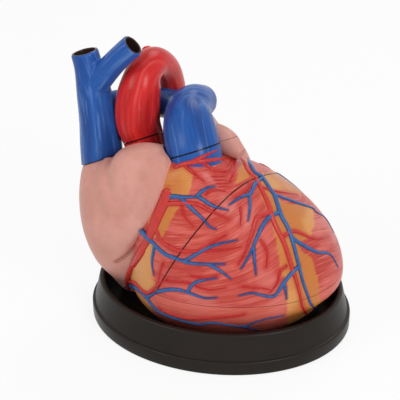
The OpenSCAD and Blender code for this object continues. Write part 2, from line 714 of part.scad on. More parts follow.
felt_sheet();
base_cover();
cover_screws();
base_shell();
heart_bolts();
bolt_washers();
bolt_inserts();
ventricles();
right_atrium();
right_auricle();
left_atrium();
left_auricle();
lower_vena_cava();
pulmonary_veins();
pulmonary_root();
aortic_root();
pulmonary_valve();
aortic_valve();
three_leaf_valve();
two_leaf_valve();
right_papillary_muscles();
left_papillary_muscles();
right_heart_strings();
left_heart_strings();
rear_coronary_arteries();
rear_coronary_veins();
wall_pins();
cap_pins();
front_wall();
front_coronary_arteries();
front_coronary_veins();
wall_sockets();
aortic_arch();
arch_branches();
pulmonary_trunk();
upper_vena_cava();
left_atrium_roof();
left_auricle_tip();
cap_sockets();
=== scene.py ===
import math

import bmesh
import bpy
import numpy as np
from mathutils import Matrix
from mathutils.bvhtree import BVHTree
from mathutils.kdtree import KDTree


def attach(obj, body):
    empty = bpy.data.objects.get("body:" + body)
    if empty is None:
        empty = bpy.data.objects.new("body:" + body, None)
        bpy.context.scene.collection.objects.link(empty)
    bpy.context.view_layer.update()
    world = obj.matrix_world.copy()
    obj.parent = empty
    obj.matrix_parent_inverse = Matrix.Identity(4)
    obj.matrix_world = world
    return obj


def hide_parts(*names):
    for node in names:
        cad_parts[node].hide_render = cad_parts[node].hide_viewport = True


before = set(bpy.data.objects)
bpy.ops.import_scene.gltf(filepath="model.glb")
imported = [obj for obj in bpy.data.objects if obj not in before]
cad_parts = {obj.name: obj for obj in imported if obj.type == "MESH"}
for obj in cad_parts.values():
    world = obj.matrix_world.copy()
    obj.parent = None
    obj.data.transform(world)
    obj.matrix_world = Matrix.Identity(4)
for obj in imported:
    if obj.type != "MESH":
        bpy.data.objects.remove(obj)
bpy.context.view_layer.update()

# Viewpoint. The camera stands a little to the left of the model's front and looks down on it, so that the
# middle of the base's underside falls low and right of the middle of the picture.
view_turn = math.radians(15.8)
view_height = math.radians(34.0)
view_distance = 1.3
picture_px = 400
middle_px = picture_px / 2
base_middle_px = (220.1, 310.9)
aim_px = 1300
focal_px = 1307.0
toward = np.array([math.sin(view_turn) * math.cos(view_height), -math.cos(view_turn) * math.cos(view_height),
                   math.sin(view_height)])
across = np.array([math.cos(view_turn), math.sin(view_turn), 0.0])
eye = toward * view_distance
aim = (-toward + across * (middle_px - base_middle_px[0]) / aim_px
       + np.cross(toward, across) * (base_middle_px[1] - middle_px) / aim_px)
aim /= np.linalg.norm(aim)
right = across - aim * across.dot(aim)
right /= np.linalg.norm(right)
up = np.cross(right, aim)
camera_data = bpy.data.cameras.new("camera")
camera_data.sensor_width = 36
camera_data.lens = 36 * focal_px / picture_px
camera = bpy.data.objects.new("camera", camera_data)
camera.matrix_world = Matrix([[right[k], up[k], -aim[k], eye[k]] for k in range(3)] + [[0, 0, 0, 1]])
bpy.context.scene.collection.objects.link(camera)
bpy.context.scene.camera = camera
bpy.context.scene.view_settings.view_transform = "Standard"


def sight_line(x, y):
    """Direction from the eye through a spot of the picture."""
    way = aim * focal_px + right * (x - middle_px) - up * (y - middle_px)
    return way / np.linalg.norm(way)


def picture_spots(points):
    """Where points, in metres, fall in the picture."""
    rel = np.asarray(points) - eye
    deep = rel @ aim
    return np.stack([middle_px + focal_px * (rel @ right) / deep, middle_px - focal_px * (rel @ up) / deep],
                    1)


def linear(red, green, blue):
    """A paint's colour, given as it is mixed on screen from 0 to 255."""
    return [((c / 255 + 0.055) / 1.055) ** 2.4 if c > 10 else c / 3294.6 for c in (red, green, blue)]


# Table and lamps. A plain white table top takes the model's soft shadow, under three soft lamps and a pale
# room.
def wire(tree, kind, inputs=None, **settings):
    """Adds a shader node. Inputs are given by name or number, as values or as sockets to link."""
    n = tree.nodes.new(kind)
    for key, value in settings.items():
        setattr(n, key, value)
    for key, value in (inputs or {}).items():
        if isinstance(value, bpy.types.NodeSocket):
            tree.links.new(value, n.inputs[key])
        else:
            n.inputs[key].default_value = value
    return n


def backdrop_rays(tree):
    """1 for the rays that look straight, by a reflection or through glass at the backdrop, otherwise 0."""
    path = wire(tree, "ShaderNodeLightPath")
    seen = wire(tree, "ShaderNodeMath", {0: path.outputs["Is Camera Ray"], 1: path.outputs["Is Glossy Ray"]},
                operation="MAXIMUM")
    return wire(tree, "ShaderNodeMath", {0: seen.outputs[0], 1: path.outputs["Is Transmission Ray"]},
                operation="MAXIMUM").outputs[0]


table_width = 8.0
table_white = (0.93, 0.93, 0.93, 1)
table_glow = 0.86
room_light = 0.5
lamps_aim_at = (0, 0, 0.13)
lamps = [("lamp_left", (-1.1, -1.2, 1.25), 0.9, 9), ("lamp_right", (1.2, -1.0, 1.2), 0.7, 13),
         ("lamp_back", (0.2, 1.2, 1.6), 1.0, 8)]
table_mesh = bpy.data.meshes.new("table")
half = table_width / 2
table_mesh.from_pydata([(-half, -half, 0), (half, -half, 0), (half, half, 0), (-half, half, 0)], [],
                       [(0, 1, 2, 3)])
table = bpy.data.objects.new("table", table_mesh)
bpy.context.scene.collection.objects.link(table)
table_paint = bpy.data.materials.new("table_paint")
table_paint.use_nodes = True
tree = table_paint.node_tree
tree.nodes.clear()
matt = wire(tree, "ShaderNodeBsdfDiffuse", {"Color": table_white})
glow = wire(tree, "ShaderNodeEmission", {"Color": (1, 1, 1, 1), "Strength": 1.0})
share = wire(tree, "ShaderNodeMath", {0: backdrop_rays(tree), 1: table_glow}, operation="MULTIPLY")
both = wire(tree, "ShaderNodeMixShader", {0: share.outputs[0], 1: matt.outputs[0], 2: glow.outputs[0]})
wire(tree, "ShaderNodeOutputMaterial", {"Surface": both.outputs[0]})
table.data.materials.append(table_paint)
room = bpy.data.worlds.new("room")
room.use_nodes = True
tree = room.node_tree
tree.nodes.clear()
level = wire(tree, "ShaderNodeMapRange", {"Value": backdrop_rays(tree), 3: room_light, 4: 1.0})
sky = wire(tree, "ShaderNodeBackground", {"Color": (1, 1, 1, 1), "Strength": level.outputs[0]})
wire(tree, "ShaderNodeOutputWorld", {"Surface": sky.outputs[0]})
bpy.context.scene.world = room
for name, spot, size, power in lamps:
    lamp_data = bpy.data.lights.new(name, "AREA")
    lamp_data.shape = "DISK"
    lamp_data.size = size
    lamp_data.energy = power
    lamp = bpy.data.objects.new(name, lamp_data)
    back = np.array(spot) - lamps_aim_at
    back /= np.linalg.norm(back)
    side = np.cross((0, 0, 1), back)
    side /= np.linalg.norm(side)
    top = np.cross(back, side)
    lamp.matrix_world = Matrix([[side[k], top[k], back[k], spot[k]] for k in range(3)] + [[0, 0, 0, 1]])
    bpy.context.scene.collection.objects.link(lamp)

# Base. A hollow oval moulding in satin black-brown plastic, with a foot flange, a leaning wall and a
# rounded rim round the well that the heart stands in. A cover plate and a felt sheet close it from below,
# held by four screws.
MM = 0.001
base_half = (128.0, 105.0)
rim_inset = 8.6
rim_w = 4.5
base_sides = 240


def skin(name, rings, loop=False):
    """A closed skin over rings of points in millimetres, shut at both ends or, as a loop, run round."""
    n, m = len(rings[0]), len(rings)
    j, i = np.meshgrid(np.arange(m if loop else m - 1), np.arange(n), indexing="ij")
    k, h = (i + 1) % n, (j + 1) % m
    sides = np.stack([j * n + i, j * n + k, h * n + k, h * n + i], -1).reshape(-1, 4)
    mesh = bpy.data.meshes.new(name)
    faces = sides.tolist() + ([] if loop else [list(range(n))[::-1], list(range((m - 1) * n, m * n))])
    points = np.vstack(rings)
    a, b, c, d = (points[sides[:, q]] for q in range(4))
    if np.einsum("ij,ij->", np.cross(a, b), c) + np.einsum("ij,ij->", np.cross(a, c), d) < 0:
        faces = [f[::-1] for f in faces]
    mesh.from_pydata((points * MM).tolist(), [], faces)
    piece = bpy.data.objects.new(name, mesh)
    bpy.context.scene.collection.objects.link(piece)
    return piece


def dress(piece, finish, degrees=32):
    """Gives a piece its one finish and shades it smooth, with its edges sharper than that kept sharp."""
    piece.data.materials.clear()
    piece.data.materials.append(finish)
    piece.data.shade_smooth()
    piece.data.set_sharp_from_angle(angle=math.radians(degrees))


def stand_for(piece, nodes, body):
    """Puts a piece in the place of nodes of the frame, on their body."""
    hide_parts(*nodes)
    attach(piece, body)


def oval(inset, z, sides=base_sides):
    turn = np.arange(sides) * 2 * math.pi / sides
    return np.stack([(base_half[0] - inset) * np.cos(turn), (base_half[1] - inset) * np.sin(turn),
                     np.full(sides, z)], 1)


def plain_group(name, inputs, outputs):
    """An empty shader group with its named sockets."""
    group = bpy.data.node_groups.new(name, "ShaderNodeTree")
    for socket, kind in inputs:
        group.interface.new_socket(name=socket, in_out="INPUT", socket_type=kind)
    for socket, kind in outputs:
        group.interface.new_socket(name=socket, in_out="OUTPUT", socket_type=kind)
    return group, group.nodes.new("NodeGroupInput"), group.nodes.new("NodeGroupOutput")


def handled_surface():
    """Group: fine moulding grain and the faint wiped marks and dust that a handled plastic surface carries."""
    group, start, end = plain_group("handled_surface", [("Grain", "NodeSocketFloat"),
                                                        ("Marks", "NodeSocketFloat")],
                                    [("Height", "NodeSocketFloat"), ("Dull", "NodeSocketFloat")])
    place = wire(group, "ShaderNodeTexCoord").outputs["Object"]
    grain = wire(group, "ShaderNodeTexNoise", {"Vector": place, "Scale": start.outputs["Grain"],
                                               "Detail": 3.0})
    marks = wire(group, "ShaderNodeTexNoise", {"Vector": place, "Scale": start.outputs["Marks"],
                                               "Detail": 5.0, "Roughness": 0.65})
    group.links.new(grain.outputs[0], end.inputs["Height"])
    group.links.new(marks.outputs[0], end.inputs["Dull"])
    return group


handled = handled_surface()


def moulded_plastic(name, dark, light, rough, grain=900.0, relief=0.04, metal=0.0, shine=0.5):
    """A plastic or metal coloured through, with fine grain and slightly uneven gloss."""
    material = bpy.data.materials.new(name)
    material.use_nodes = True
    tree = material.node_tree
    tree.nodes.clear()
    feel = wire(tree, "ShaderNodeGroup", node_tree=handled)
    feel.inputs["Grain"].default_value = grain
    feel.inputs["Marks"].default_value = 24.0
    colour = wire(tree, "ShaderNodeMix", {0: feel.outputs["Dull"], 6: (*dark, 1), 7: (*light, 1)},
                  data_type="RGBA")
    gloss = wire(tree, "ShaderNodeMapRange", {"Value": feel.outputs["Dull"], 1: 0.3, 2: 0.7, 3: rough - 0.05,
                                              4: rough + 0.07})
    bump = wire(tree, "ShaderNodeBump", {"Strength": relief, "Distance": 0.0005,
                                         "Height": feel.outputs["Height"]})
    skin_shader = wire(tree, "ShaderNodeBsdfPrincipled", {"Base Color": colour.outputs[2], "Metallic": metal,
                                                          "Roughness": gloss.outputs[0],
                                                          "Normal": bump.outputs[0],
                                                          "Specular IOR Level": shine})
    wire(tree, "ShaderNodeOutputMaterial", {"Surface": skin_shader.outputs[0]})
    return material


base_plastic = moulded_plastic("base_plastic", linear(26, 20, 17), linear(40, 34, 30), 0.32, shine=0.16)
well_floor = 14
shell = skin("base_moulding", [
    oval(*spot) for spot in [
        (60, 11), (7.5, 11), (7, 10.5), (7, 4.5), (4, 4.5), (4, 1.4), (3.6, 1), (1.2, 1), (0.5, 1.3),
        (0.1, 1.9), (0, 3),
        (0, 13.2), (0.15, 14), (0.55, 14.6), (1.2, 14.95), (2.1, 15), (2.5, 15.15), (2.75, 15.6),
        (rim_inset - 0.75, 38),
        (rim_inset - 0.45, 39), (rim_inset + 0.1, 39.7), (rim_inset + 1, 40), (rim_inset + rim_w - 1.2, 40),
        (rim_inset + rim_w - 0.4, 39.7), (rim_inset + rim_w, 39), (16, 14.5), (16.5, well_floor),
        (60, well_floor)]])
dress(shell, base_plastic, 40)
stand_for(shell, ["base_shell"], "stand")

felt = skin("felt_pad", [oval(*spot) for spot in [(7.4, 0), (6.5, 0.3), (6.4, 0.8), (6.5, 1.3), (7, 1.5)]])
dress(felt, moulded_plastic("felt", linear(24, 24, 25), linear(44, 44, 46), 0.9, 2600.0, 0.5))
stand_for(felt, ["felt_sheet"], "stand")
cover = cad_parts["base_cover"]
cover.data.materials.clear()
cover.data.materials.append(base_plastic)
steel = moulded_plastic("zinc_steel", linear(150, 150, 148), linear(190, 190, 188), 0.32, 1500.0, 0.02, 1.0)
brass = moulded_plastic("turned_brass", linear(170, 130, 66), linear(205, 165, 92), 0.3, 1200.0, 0.02, 1.0)
nylon = moulded_plastic("grey_nylon", linear(176, 176, 172), linear(205, 205, 200), 0.5)
for name, finish in (("cover_screws", steel), ("heart_bolts", steel), ("bolt_washers", steel),
                     ("bolt_inserts", brass),
                     ("wall_pins", steel), ("cap_pins", steel), ("wall_sockets", nylon),
                     ("cap_sockets", nylon)):
    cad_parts[name].data.materials.clear()
    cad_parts[name].data.materials.append(finish)

# Muscle. The two ventricles are one solid form that stands in the well, painted salmon red in strokes that
# follow the fibres, with ochre fat along the vessels. A front wall parts from it along a slanting face and
# pulls off.
heart_turn = math.radians(15)
squareness = 2.2
muscle_rows = np.array([
    [14, 9, 0, 76, 58], [27, 10, 1, 88, 70], [40, 11, 1, 95.5, 78.5], [54, 15, 3, 103, 83.5],
    [80, 13, 2, 100, 84],
    [110, 4, -2, 91, 77], [140, -9, -9, 75, 65], [163, -16, -20, 54, 48], [178, -16, -32, 36, 31],
    [187, -14, -40, 20, 17], [190, -13, -42, 8, 7]], float)
right_chamber_path = [
    [-64, -24, 94, 17], [-44, -34, 96, 25], [-12, -44, 98, 31], [24, -42, 93, 28], [52, -33, 87, 21],
    [70, -25, 84, 8]]
left_chamber_path = [
    [-2, 25, 130, 12], [12, 27, 125, 24], [38, 24, 113, 31], [64, 17, 101, 27], [83, 11, 93, 17],
    [93, 8, 89, 6]]
right_outlet_path = [[-8, -46, 104, 18], [-8, -44, 136, 20], [-11, -37, 163, 21], [-17, -28, 188, 22]]
left_outlet_path = [[8, 22, 128, 14], [-20, 13, 146, 15], [-46, 2, 160, 16], [-70, -3, 180, 17]]
septum_t = 12
part_gap = 0.4
cap_way = np.array([math.sin(math.radians(29)) * math.cos(math.radians(143)),
                    math.sin(math.radians(29)) * math.sin(math.radians(143)), math.cos(math.radians(29))])
trunk_seat = np.array([-17, -28, 190.0])
aorta_seat = np.array([-74, -2, 183.0])
cava_seat = np.array([-115, -10, 158.0])
wall_heading = math.radians(-21)
wall_overhang = math.radians(27)
front_floor = 62
wall_faces = [
    (np.array([8, -60, 140.0]), np.array([math.cos(wall_overhang) * math.cos(wall_heading),
                                          math.cos(wall_overhang) * math.sin(wall_heading),
                                          -math.sin(wall_overhang)])),
    (np.array([0, 0, float(front_floor)]), np.array([0, 0, 1.0])),
    (np.array([60, 36, 100.0]), np.array([math.sin(wall_heading), -math.cos(wall_heading), 0.0]))]


def along(rows, t):
    """Smooth curve through rows of numbers."""
    rows = np.asarray(rows, float)
    t = np.clip(np.atleast_1d(t), 0, len(rows) - 1)
    i = np.minimum(np.floor(t).astype(int), len(rows) - 2)
    pad = np.vstack([rows[:1], rows, rows[-1:]])
    a, b, c, d = pad[i], pad[i + 1], pad[i + 2], pad[i + 3]
    f = (t - i)[:, None]
    return 0.5 * (2 * b + (c - a) * f + (2 * a - 5 * b + 4 * c - d) * f ** 2 + (3 * b - a - 3 * c + d)
                  * f ** 3)


def level_ring(row, turn, angles):
    """Points on one level of a stacked form."""
    x = row[3] * np.sign(np.cos(angles)) * np.abs(np.cos(angles)) ** (2 / squareness)
    y = row[4] * np.sign(np.sin(angles)) * np.abs(np.sin(angles)) ** (2 / squareness)
    return np.stack([row[1] + x * math.cos(turn) - y * math.sin(turn),
                     row[2] + x * math.sin(turn) + y * math.cos(turn), np.full(len(angles), row[0])], 1)


def stack(name, rows, turn=0.0, sides=96, steps=40):
    """A form stacked from levels, with a domed top."""
    angles = np.arange(sides) * 2 * math.pi / sides
    levels = along(rows, np.linspace(0, len(rows) - 1, steps + 1))
    rings = [level_ring(row, turn, angles) for row in levels]
    top = levels[-1].copy()
    for keep in (0.7, 0.4, 0.1):
        lid = top.copy()
        lid[3:5] *= keep
        lid[0] += 0.22 * top[4] * math.sqrt(1 - keep ** 2) * 0.5
        rings.append(level_ring(lid, turn, angles))
    return skin(name, rings)


def unit(v):
    return v / np.linalg.norm(v, axis=-1, keepdims=True)


def tube_rings(spots, radii, start=0.0, end=0.0, sides=48, upright=(0.3, -1, 0.1)):
    """Rings round a line of spots; start and end push the end rings outwards."""
    spots, radii = np.asarray(spots, float), np.asarray(radii, float)
    ahead = np.empty_like(spots)
    ahead[1:-1] = spots[2:] - spots[:-2]
    ahead[0], ahead[-1] = spots[1] - spots[0], spots[-1] - spots[-2]
    ahead = unit(ahead)
    side = unit(np.cross(ahead, upright))
    above = np.cross(side, ahead)
    spots = spots.copy()
    spots[0] -= ahead[0] * start
    spots[-1] += ahead[-1] * end
    turn = np.arange(sides) * 2 * math.pi / sides
    return [s + r * (np.outer(np.cos(turn), p) - np.outer(np.sin(turn), q))
            for s, r, p, q in zip(spots, radii, side, above)]


def sweep(name, rows, extra=0.0, reach=0.0, sides=64, steps=48, lips=(False, False)):
    """A round form along rows of x, y, z and radius. A lip rounds the rim at the start or the end."""
    path = along(rows, np.linspace(0, len(rows) - 1, steps + 1))
    spots, radii = path[:, :3], path[:, 3] + extra
    flare = 1 if extra < 0 else -1
    curve = [(1.3, 0.0), (0.6, 0.12), (0.2, 0.4), (0.0, 0.95)]
    for at_end in (0, 1):
        if not lips[at_end]:
            continue
        spots, radii = (spots, radii) if at_end else (spots[::-1], radii[::-1])
        way = unit(spots[-1] - spots[-2])
        tip, r = spots[-1], radii[-1]
        more = [tip - way * back for back, _ in curve]
        wide = [r + flare * open_by for _, open_by in curve]
        if extra < 0:
            more.append(tip + way * (reach + 1))
            wide.append(wide[-1])
        keep = (tip - spots) @ way > 1.6
        keep[:len(spots) // 2] = True
        spots = np.vstack([spots[keep], more])
        radii = np.concatenate([radii[keep], wide])
        if not at_end:
            spots, radii = spots[::-1], radii[::-1]
    ends = (0 if lips[0] else reach, 0 if lips[1] else reach)
    return skin(name, tube_rings(spots, radii, ends[0], ends[1], sides))


def all_past(name, faces, gap=0.0, far=420.0):
    """The block of all space past one or more flat faces."""
    block = None
    for n, (spot, way) in enumerate(faces):
        side = unit(np.cross(way, (0.31, 0.22, 0.9) if abs(way[2]) < 0.8 else (1.0, 0.1, 0.0)))
        top = np.cross(way, side)
        base = np.array([spot + way * gap + far * (side * p + top * q)
                         for p, q in ((-1, -1), (1, -1), (1, 1), (-1, 1))])
        piece = skin(name + str(n), [base, base + way * far])
        block = piece if block is None else carve(name, block, keep=[piece])
    return block


def carve(name, solid, add=(), keep=(), cut=(), spare=()):
    """Joins, intersects and cuts closed solids, and returns the result as one piece. Spared tools are kept."""
    for how, tools in (("UNION", add), ("INTERSECT", keep), ("DIFFERENCE", cut)):
        for tool in tools:
            step = solid.modifiers.new(how, "BOOLEAN")
            step.object, step.operation, step.solver = tool, how, "MANIFOLD"
    shape = bpy.data.meshes.new_from_object(solid.evaluated_get(bpy.context.evaluated_depsgraph_get()))
    shape.name = name
    if "sharp_edge" in shape.attributes:
        shape.attributes.remove(shape.attributes["sharp_edge"])
    for old in {solid, *add, *keep, *cut} - set(spare):
        bpy.data.objects.remove(old)
    if solid in spare:
        solid.modifiers.clear()
    piece = bpy.data.objects.new(name, shape)
    bpy.context.scene.collection.objects.link(piece)
    return piece


def corners(piece):
    """A piece's points in millimetres."""
    flat = np.empty(len(piece.data.vertices) * 3)
    piece.data.vertices.foreach_get("co", flat)
    return flat.reshape(-1, 3) / MM


def tree_of(*pieces):
    """The faces of pieces, for finding where a line meets them, in millimetres."""
    points, faces, base = [], [], 0
    for piece in pieces:
        own = corners(piece)
        points.append(own)
        faces += [[base + v for v in f.vertices] for f in piece.data.polygons]
        base += len(own)
    return BVHTree.FromPolygons(np.vstack(points).tolist(), faces)


def spot_on(surface, x, y):
    """Where the line of sight through a spot of the picture meets a surface, and the outward way there."""
    place, way, _, _ = surface.ray_cast((eye / MM).tolist(), sight_line(x, y).tolist())
    return (np.array(place), np.array(way)) if place is not None else (None, None)


muscle = stack("muscle_form", muscle_rows, heart_turn, 280, 150)


def muscle_place(points):
    """For points: the angle round the muscle, the level along its rows and the depth under its skin."""
    steps = np.linspace(0, len(muscle_rows) - 1, 4000)
    fine = along(muscle_rows, steps)
    level = np.interp(points[:, 2], fine[:, 0], steps)
    row = along(muscle_rows, level)
    x, y = points[:, 0] - row[:, 1], points[:, 1] - row[:, 2]
    lx = (x * math.cos(heart_turn) + y * math.sin(heart_turn)) / row[:, 3]
    ly = (-x * math.sin(heart_turn) + y * math.cos(heart_turn)) / row[:, 4]
    px, py = np.abs(lx) ** (squareness / 2), np.abs(ly) ** (squareness / 2)
    share = (np.abs(lx) ** squareness + np.abs(ly) ** squareness) ** (1 / squareness)
    return np.arctan2(np.sign(ly) * py, np.sign(lx)
                      * px), level, (1 - share) * np.minimum(row[:, 3], row[:, 4])


def muscle_spot(degrees, height):
    """A point of the muscle's skin by the angle round it and its height."""
    steps = np.linspace(0, len(muscle_rows) - 1, 4000)
    row = along(muscle_rows, np.interp(height, along(muscle_rows, steps)[:, 0], steps))[0]
    return level_ring(row, heart_turn, np.array([math.radians(degrees)]))[0]


# Fibres: spots of the picture, and angles and heights on the far side, each with the way that the strokes
# run there, in degrees from level
front_fibres = [
    (185, 172, 0), (215, 168, 8), (235, 175, 20), (190, 188, -5), (222, 188, 0), (245, 190, 40),
    (178, 210, -35),
    (200, 222, 15), (228, 228, 35), (180, 240, -10), (195, 255, 12), (222, 252, 35), (170, 275, 5),
    (195, 278, 10),
    (220, 280, 30), (238, 262, 62), (238, 290, 58), (212, 296, 10), (252, 225, 75), (262, 250, 62),
    (276, 262, 55),
    (268, 283, 30), (190, 312, -8), (230, 316, 0), (262, 312, 10), (296, 216, 15), (318, 228, 25),
    (328, 250, 35),
    (312, 262, 45), (322, 280, 30), (296, 240, 50), (150, 262, -60), (140, 285, -30)]
back_fibres = [
    (15, 60, 40), (25, 100, 45), (50, 60, 38), (60, 100, 42), (90, 50, 30), (110, 90, 35), (140, 60, 25),
    (40, 140, 30),
    (200, 60, 40), (225, 40, 20), (0, 30, 20), (60, 25, 10), (120, 25, 10), (250, 24, 0), (300, 24, 5),
    (340, 24, 15)]
muscle_skin = tree_of(muscle)
grid_turns, grid_levels = 97, 56
grid_turn = np.linspace(-math.pi, math.pi, grid_turns)
grid_level = np.linspace(0, len(muscle_rows) - 1, grid_levels)
grid = np.stack([level_ring(row, heart_turn, grid_turn) for row in along(muscle_rows, grid_level)])
step_round, step_up = np.gradient(grid, axis=1), np.gradient(grid, axis=0)
outward = unit(np.cross(step_round, step_up))
guide_reach = 17.0
guides = []
for x, y, tilt in front_fibres:
    near, _ = spot_on(muscle_skin, x, y)
    far_spot, _ = spot_on(muscle_skin, x + 2 * math.cos(math.radians(tilt)),
                          y - 2 * math.sin(math.radians(tilt)))
    if near is not None and far_spot is not None:
        guides.append((near, unit(far_spot - near)))
for degrees, height, tilt in back_fibres:
    near = muscle_spot(degrees, height)
    way_round = unit(muscle_spot(degrees + 2, height) - near)
    way_up = unit(muscle_spot(degrees, height + 2) - near)
    guides.append((near, unit(way_round * math.cos(math.radians(tilt)) + way_up
                              * math.sin(math.radians(tilt)))))
guide_spots, guide_ways = np.array([g[0] for g in guides]), np.array([g[1] for g in guides])
reference = unit(step_up) * 1.0 - unit(step_round) * 0.5
across_fibres = np.cross(outward[:, :, None, :], guide_ways[None, None])
across_fibres *= np.where(np.einsum("abgk,abk->abg", across_fibres, reference) < 0, -1, 1)[..., None]
near_by = np.exp(-((grid[:, :, None, :] - guide_spots) ** 2).sum(-1) / (2 * guide_reach ** 2)) + 1e-9
field_across = unit((across_fibres * near_by[..., None]).sum(2))
field_along = np.cross(field_across, outward)
solver_rounds, solved = 600, 1e-6


def spread_field(field):
    """A number over the muscle's skin that grows along a field of ways, a millimetre for a millimetre."""
    want_round, want_up = (field * step_round).sum(-1), (field * step_up).sum(-1)
    weight_round, weight_up = 1 / (step_round ** 2).sum(-1).clip(1), 1 / (step_up ** 2).sum(-1).clip(1)
    wr, wu = (weight_round[:, 1:] + weight_round[:, :-1]) / 2, (weight_up[1:] + weight_up[:-1]) / 2
    gr, gu = (want_round[:, 1:] + want_round[:, :-1]) / 2, (want_up[1:] + want_up[:-1]) / 2

    def pull(dr, du):
        out = np.zeros(field.shape[:2])
        out[:, 1:] += wr * dr
        out[:, :-1] -= wr * dr
        out[1:] += wu * du
        out[:-1] -= wu * du
        return out

    u = np.zeros(field.shape[:2])
    rest = pull(gr, gu)
    way, size = rest.copy(), (rest ** 2).sum()
    for _ in range(solver_rounds):
        moved = pull(way[:, 1:] - way[:, :-1], way[1:] - way[:-1])
        share = size / (way * moved).sum()
        u += share * way
        rest -= share * moved
        size, old = (rest ** 2).sum(), size
        if size < solved:
            break
        way = rest + way * size / old
    return u


fibre_across, fibre_along = spread_field(field_across), spread_field(field_along)


def on_grid(values, turn, level):
    """Values of the muscle's grid at given angles and levels."""
    p = (turn + math.pi) / (2 * math.pi) * (grid_turns - 1)
    q = level / (len(muscle_rows) - 1) * (grid_levels - 1)
    i, j = np.clip(p.astype(int), 0, grid_turns - 2), np.clip(q.astype(int), 0, grid_levels - 2)
    f, g = p - i, q - j
    return ((values[j, i] * (1 - f) + values[j, i + 1] * f) * (1 - g)
            + (values[j + 1, i] * (1 - f) + values[j + 1, i + 1] * f) * g)


def inside_patch(patch, spots):
    """How far spots of the picture lie inside a closed patch, in its own units, less than 0 outside."""
    patch = np.array(patch, float)
    nearest, odd = np.full(len(spots), 1e9), np.zeros(len(spots), bool)
    for a, b in zip(patch, np.roll(patch, -1, axis=0)):
        way = b - a
        t = np.clip(((spots - a) @ way) / (way @ way), 0, 1)
        nearest = np.minimum(nearest, np.linalg.norm(spots - a - t[:, None] * way, axis=1))
        over = (a[1] > spots[:, 1]) != (b[1] > spots[:, 1])
        cross_x = a[0] + (spots[:, 1] - a[1]) * way[0] / (way[1] if way[1] else 1e-9)
        odd ^= over & (spots[:, 0] < cross_x)
    return np.where(odd, nearest, -nearest)


fat_patches = [
    [(250, 174), (262, 175), (272, 170), (303, 187), (301, 196), (273, 191), (283, 203), (314, 206),
     (314, 226),
     (310, 238), (297, 242), (303, 252), (312, 258), (318, 278), (319, 297), (328, 310), (318, 326),
     (288, 332),
     (287, 305), (288, 282), (280, 270), (279, 258), (275, 235), (271, 218), (262, 198), (256, 184)],
    [(160, 167), (190, 166), (193, 176), (188, 196), (172, 198), (150, 199), (152, 182)],
    [(156, 208), (170, 205), (180, 206), (170, 222), (163, 238), (150, 238), (148, 222)],
    [(149, 240), (154, 246), (153, 262), (152, 276), (158, 288), (148, 293), (136, 286), (128, 278),
     (132, 262),
     (140, 246)],
    [(243, 158), (251, 172), (254, 178), (244, 180), (236, 184), (238, 172)],
    [(120, 286), (134, 290), (147, 300), (152, 310), (162, 322), (142, 312), (120, 296)]]
back_fat = [[(20, 140), (60, 146), (110, 112), (150, 90), (150, 66), (110, 86), (60, 112), (20, 118)],
            [(84, 112), (102, 112), (98, 70), (96, 40), (82, 40), (86, 70)],
            [(-140, 60), (-118, 52), (-118, 30), (-150, 30)]]
# Past this the skin is turned off from the viewpoint, and the far side's patches take over
turned_off = 0.12
# How much fainter the painted shade and grime line is drawn along the slanting, the level and the far parting
# face, in millimetres of its width
seam_fades = np.array([0.0, 0.4, 9.0])


def note(piece, name, values):
    """Keeps a number, or a row of three, at every point of a piece for its paint."""
    values = np.asarray(values, np.float32)
    kind = "FLOAT_VECTOR" if values.ndim == 2 else "FLOAT"
    mark = piece.data.attributes.new(name, kind, "POINT")
    mark.data.foreach_set("vector" if values.ndim == 2 else "value", values.ravel())


def mark_muscle(piece):
    """Notes the fibres' run, the fat, the depth, the parting lines for their painted shade and the height for
    a painted highlight at every point of a muscle piece.
    """
    points = corners(piece)
    turn, level, deep = muscle_place(points)
    note(piece, "lay", np.stack([on_grid(fibre_across, turn, level), np.zeros(len(points)),
                                 on_grid(fibre_along, turn, level)], 1))
    spots = picture_spots(points * MM)
    facing = (np.stack([on_grid(outward[..., k], turn, level) for k in range(3)], 1)
              * unit(eye / MM - points)).sum(1)
    front = np.max([inside_patch(patch, spots) for patch in fat_patches], axis=0)
    front -= np.clip(turned_off - facing, 0, 1) * 90
    flat = np.stack([np.degrees(turn), points[:, 2]], 1)
    back = np.max([inside_patch(patch, flat) for patch in back_fat], axis=0)
    back -= np.clip(facing + turned_off, 0, 1) * 90
    note(piece, "fat", np.maximum(front, back))
    note(piece, "deep", deep)
    reach = np.array([(points - spot) @ way for spot, way in wall_faces])
    note(piece, "seam_shade_and_grime", np.abs(reach.min(0)) + seam_fades[reach.argmin(0)])
    # The height, for the painted highlight along the lower margin
    note(piece, "low", points[:, 2])


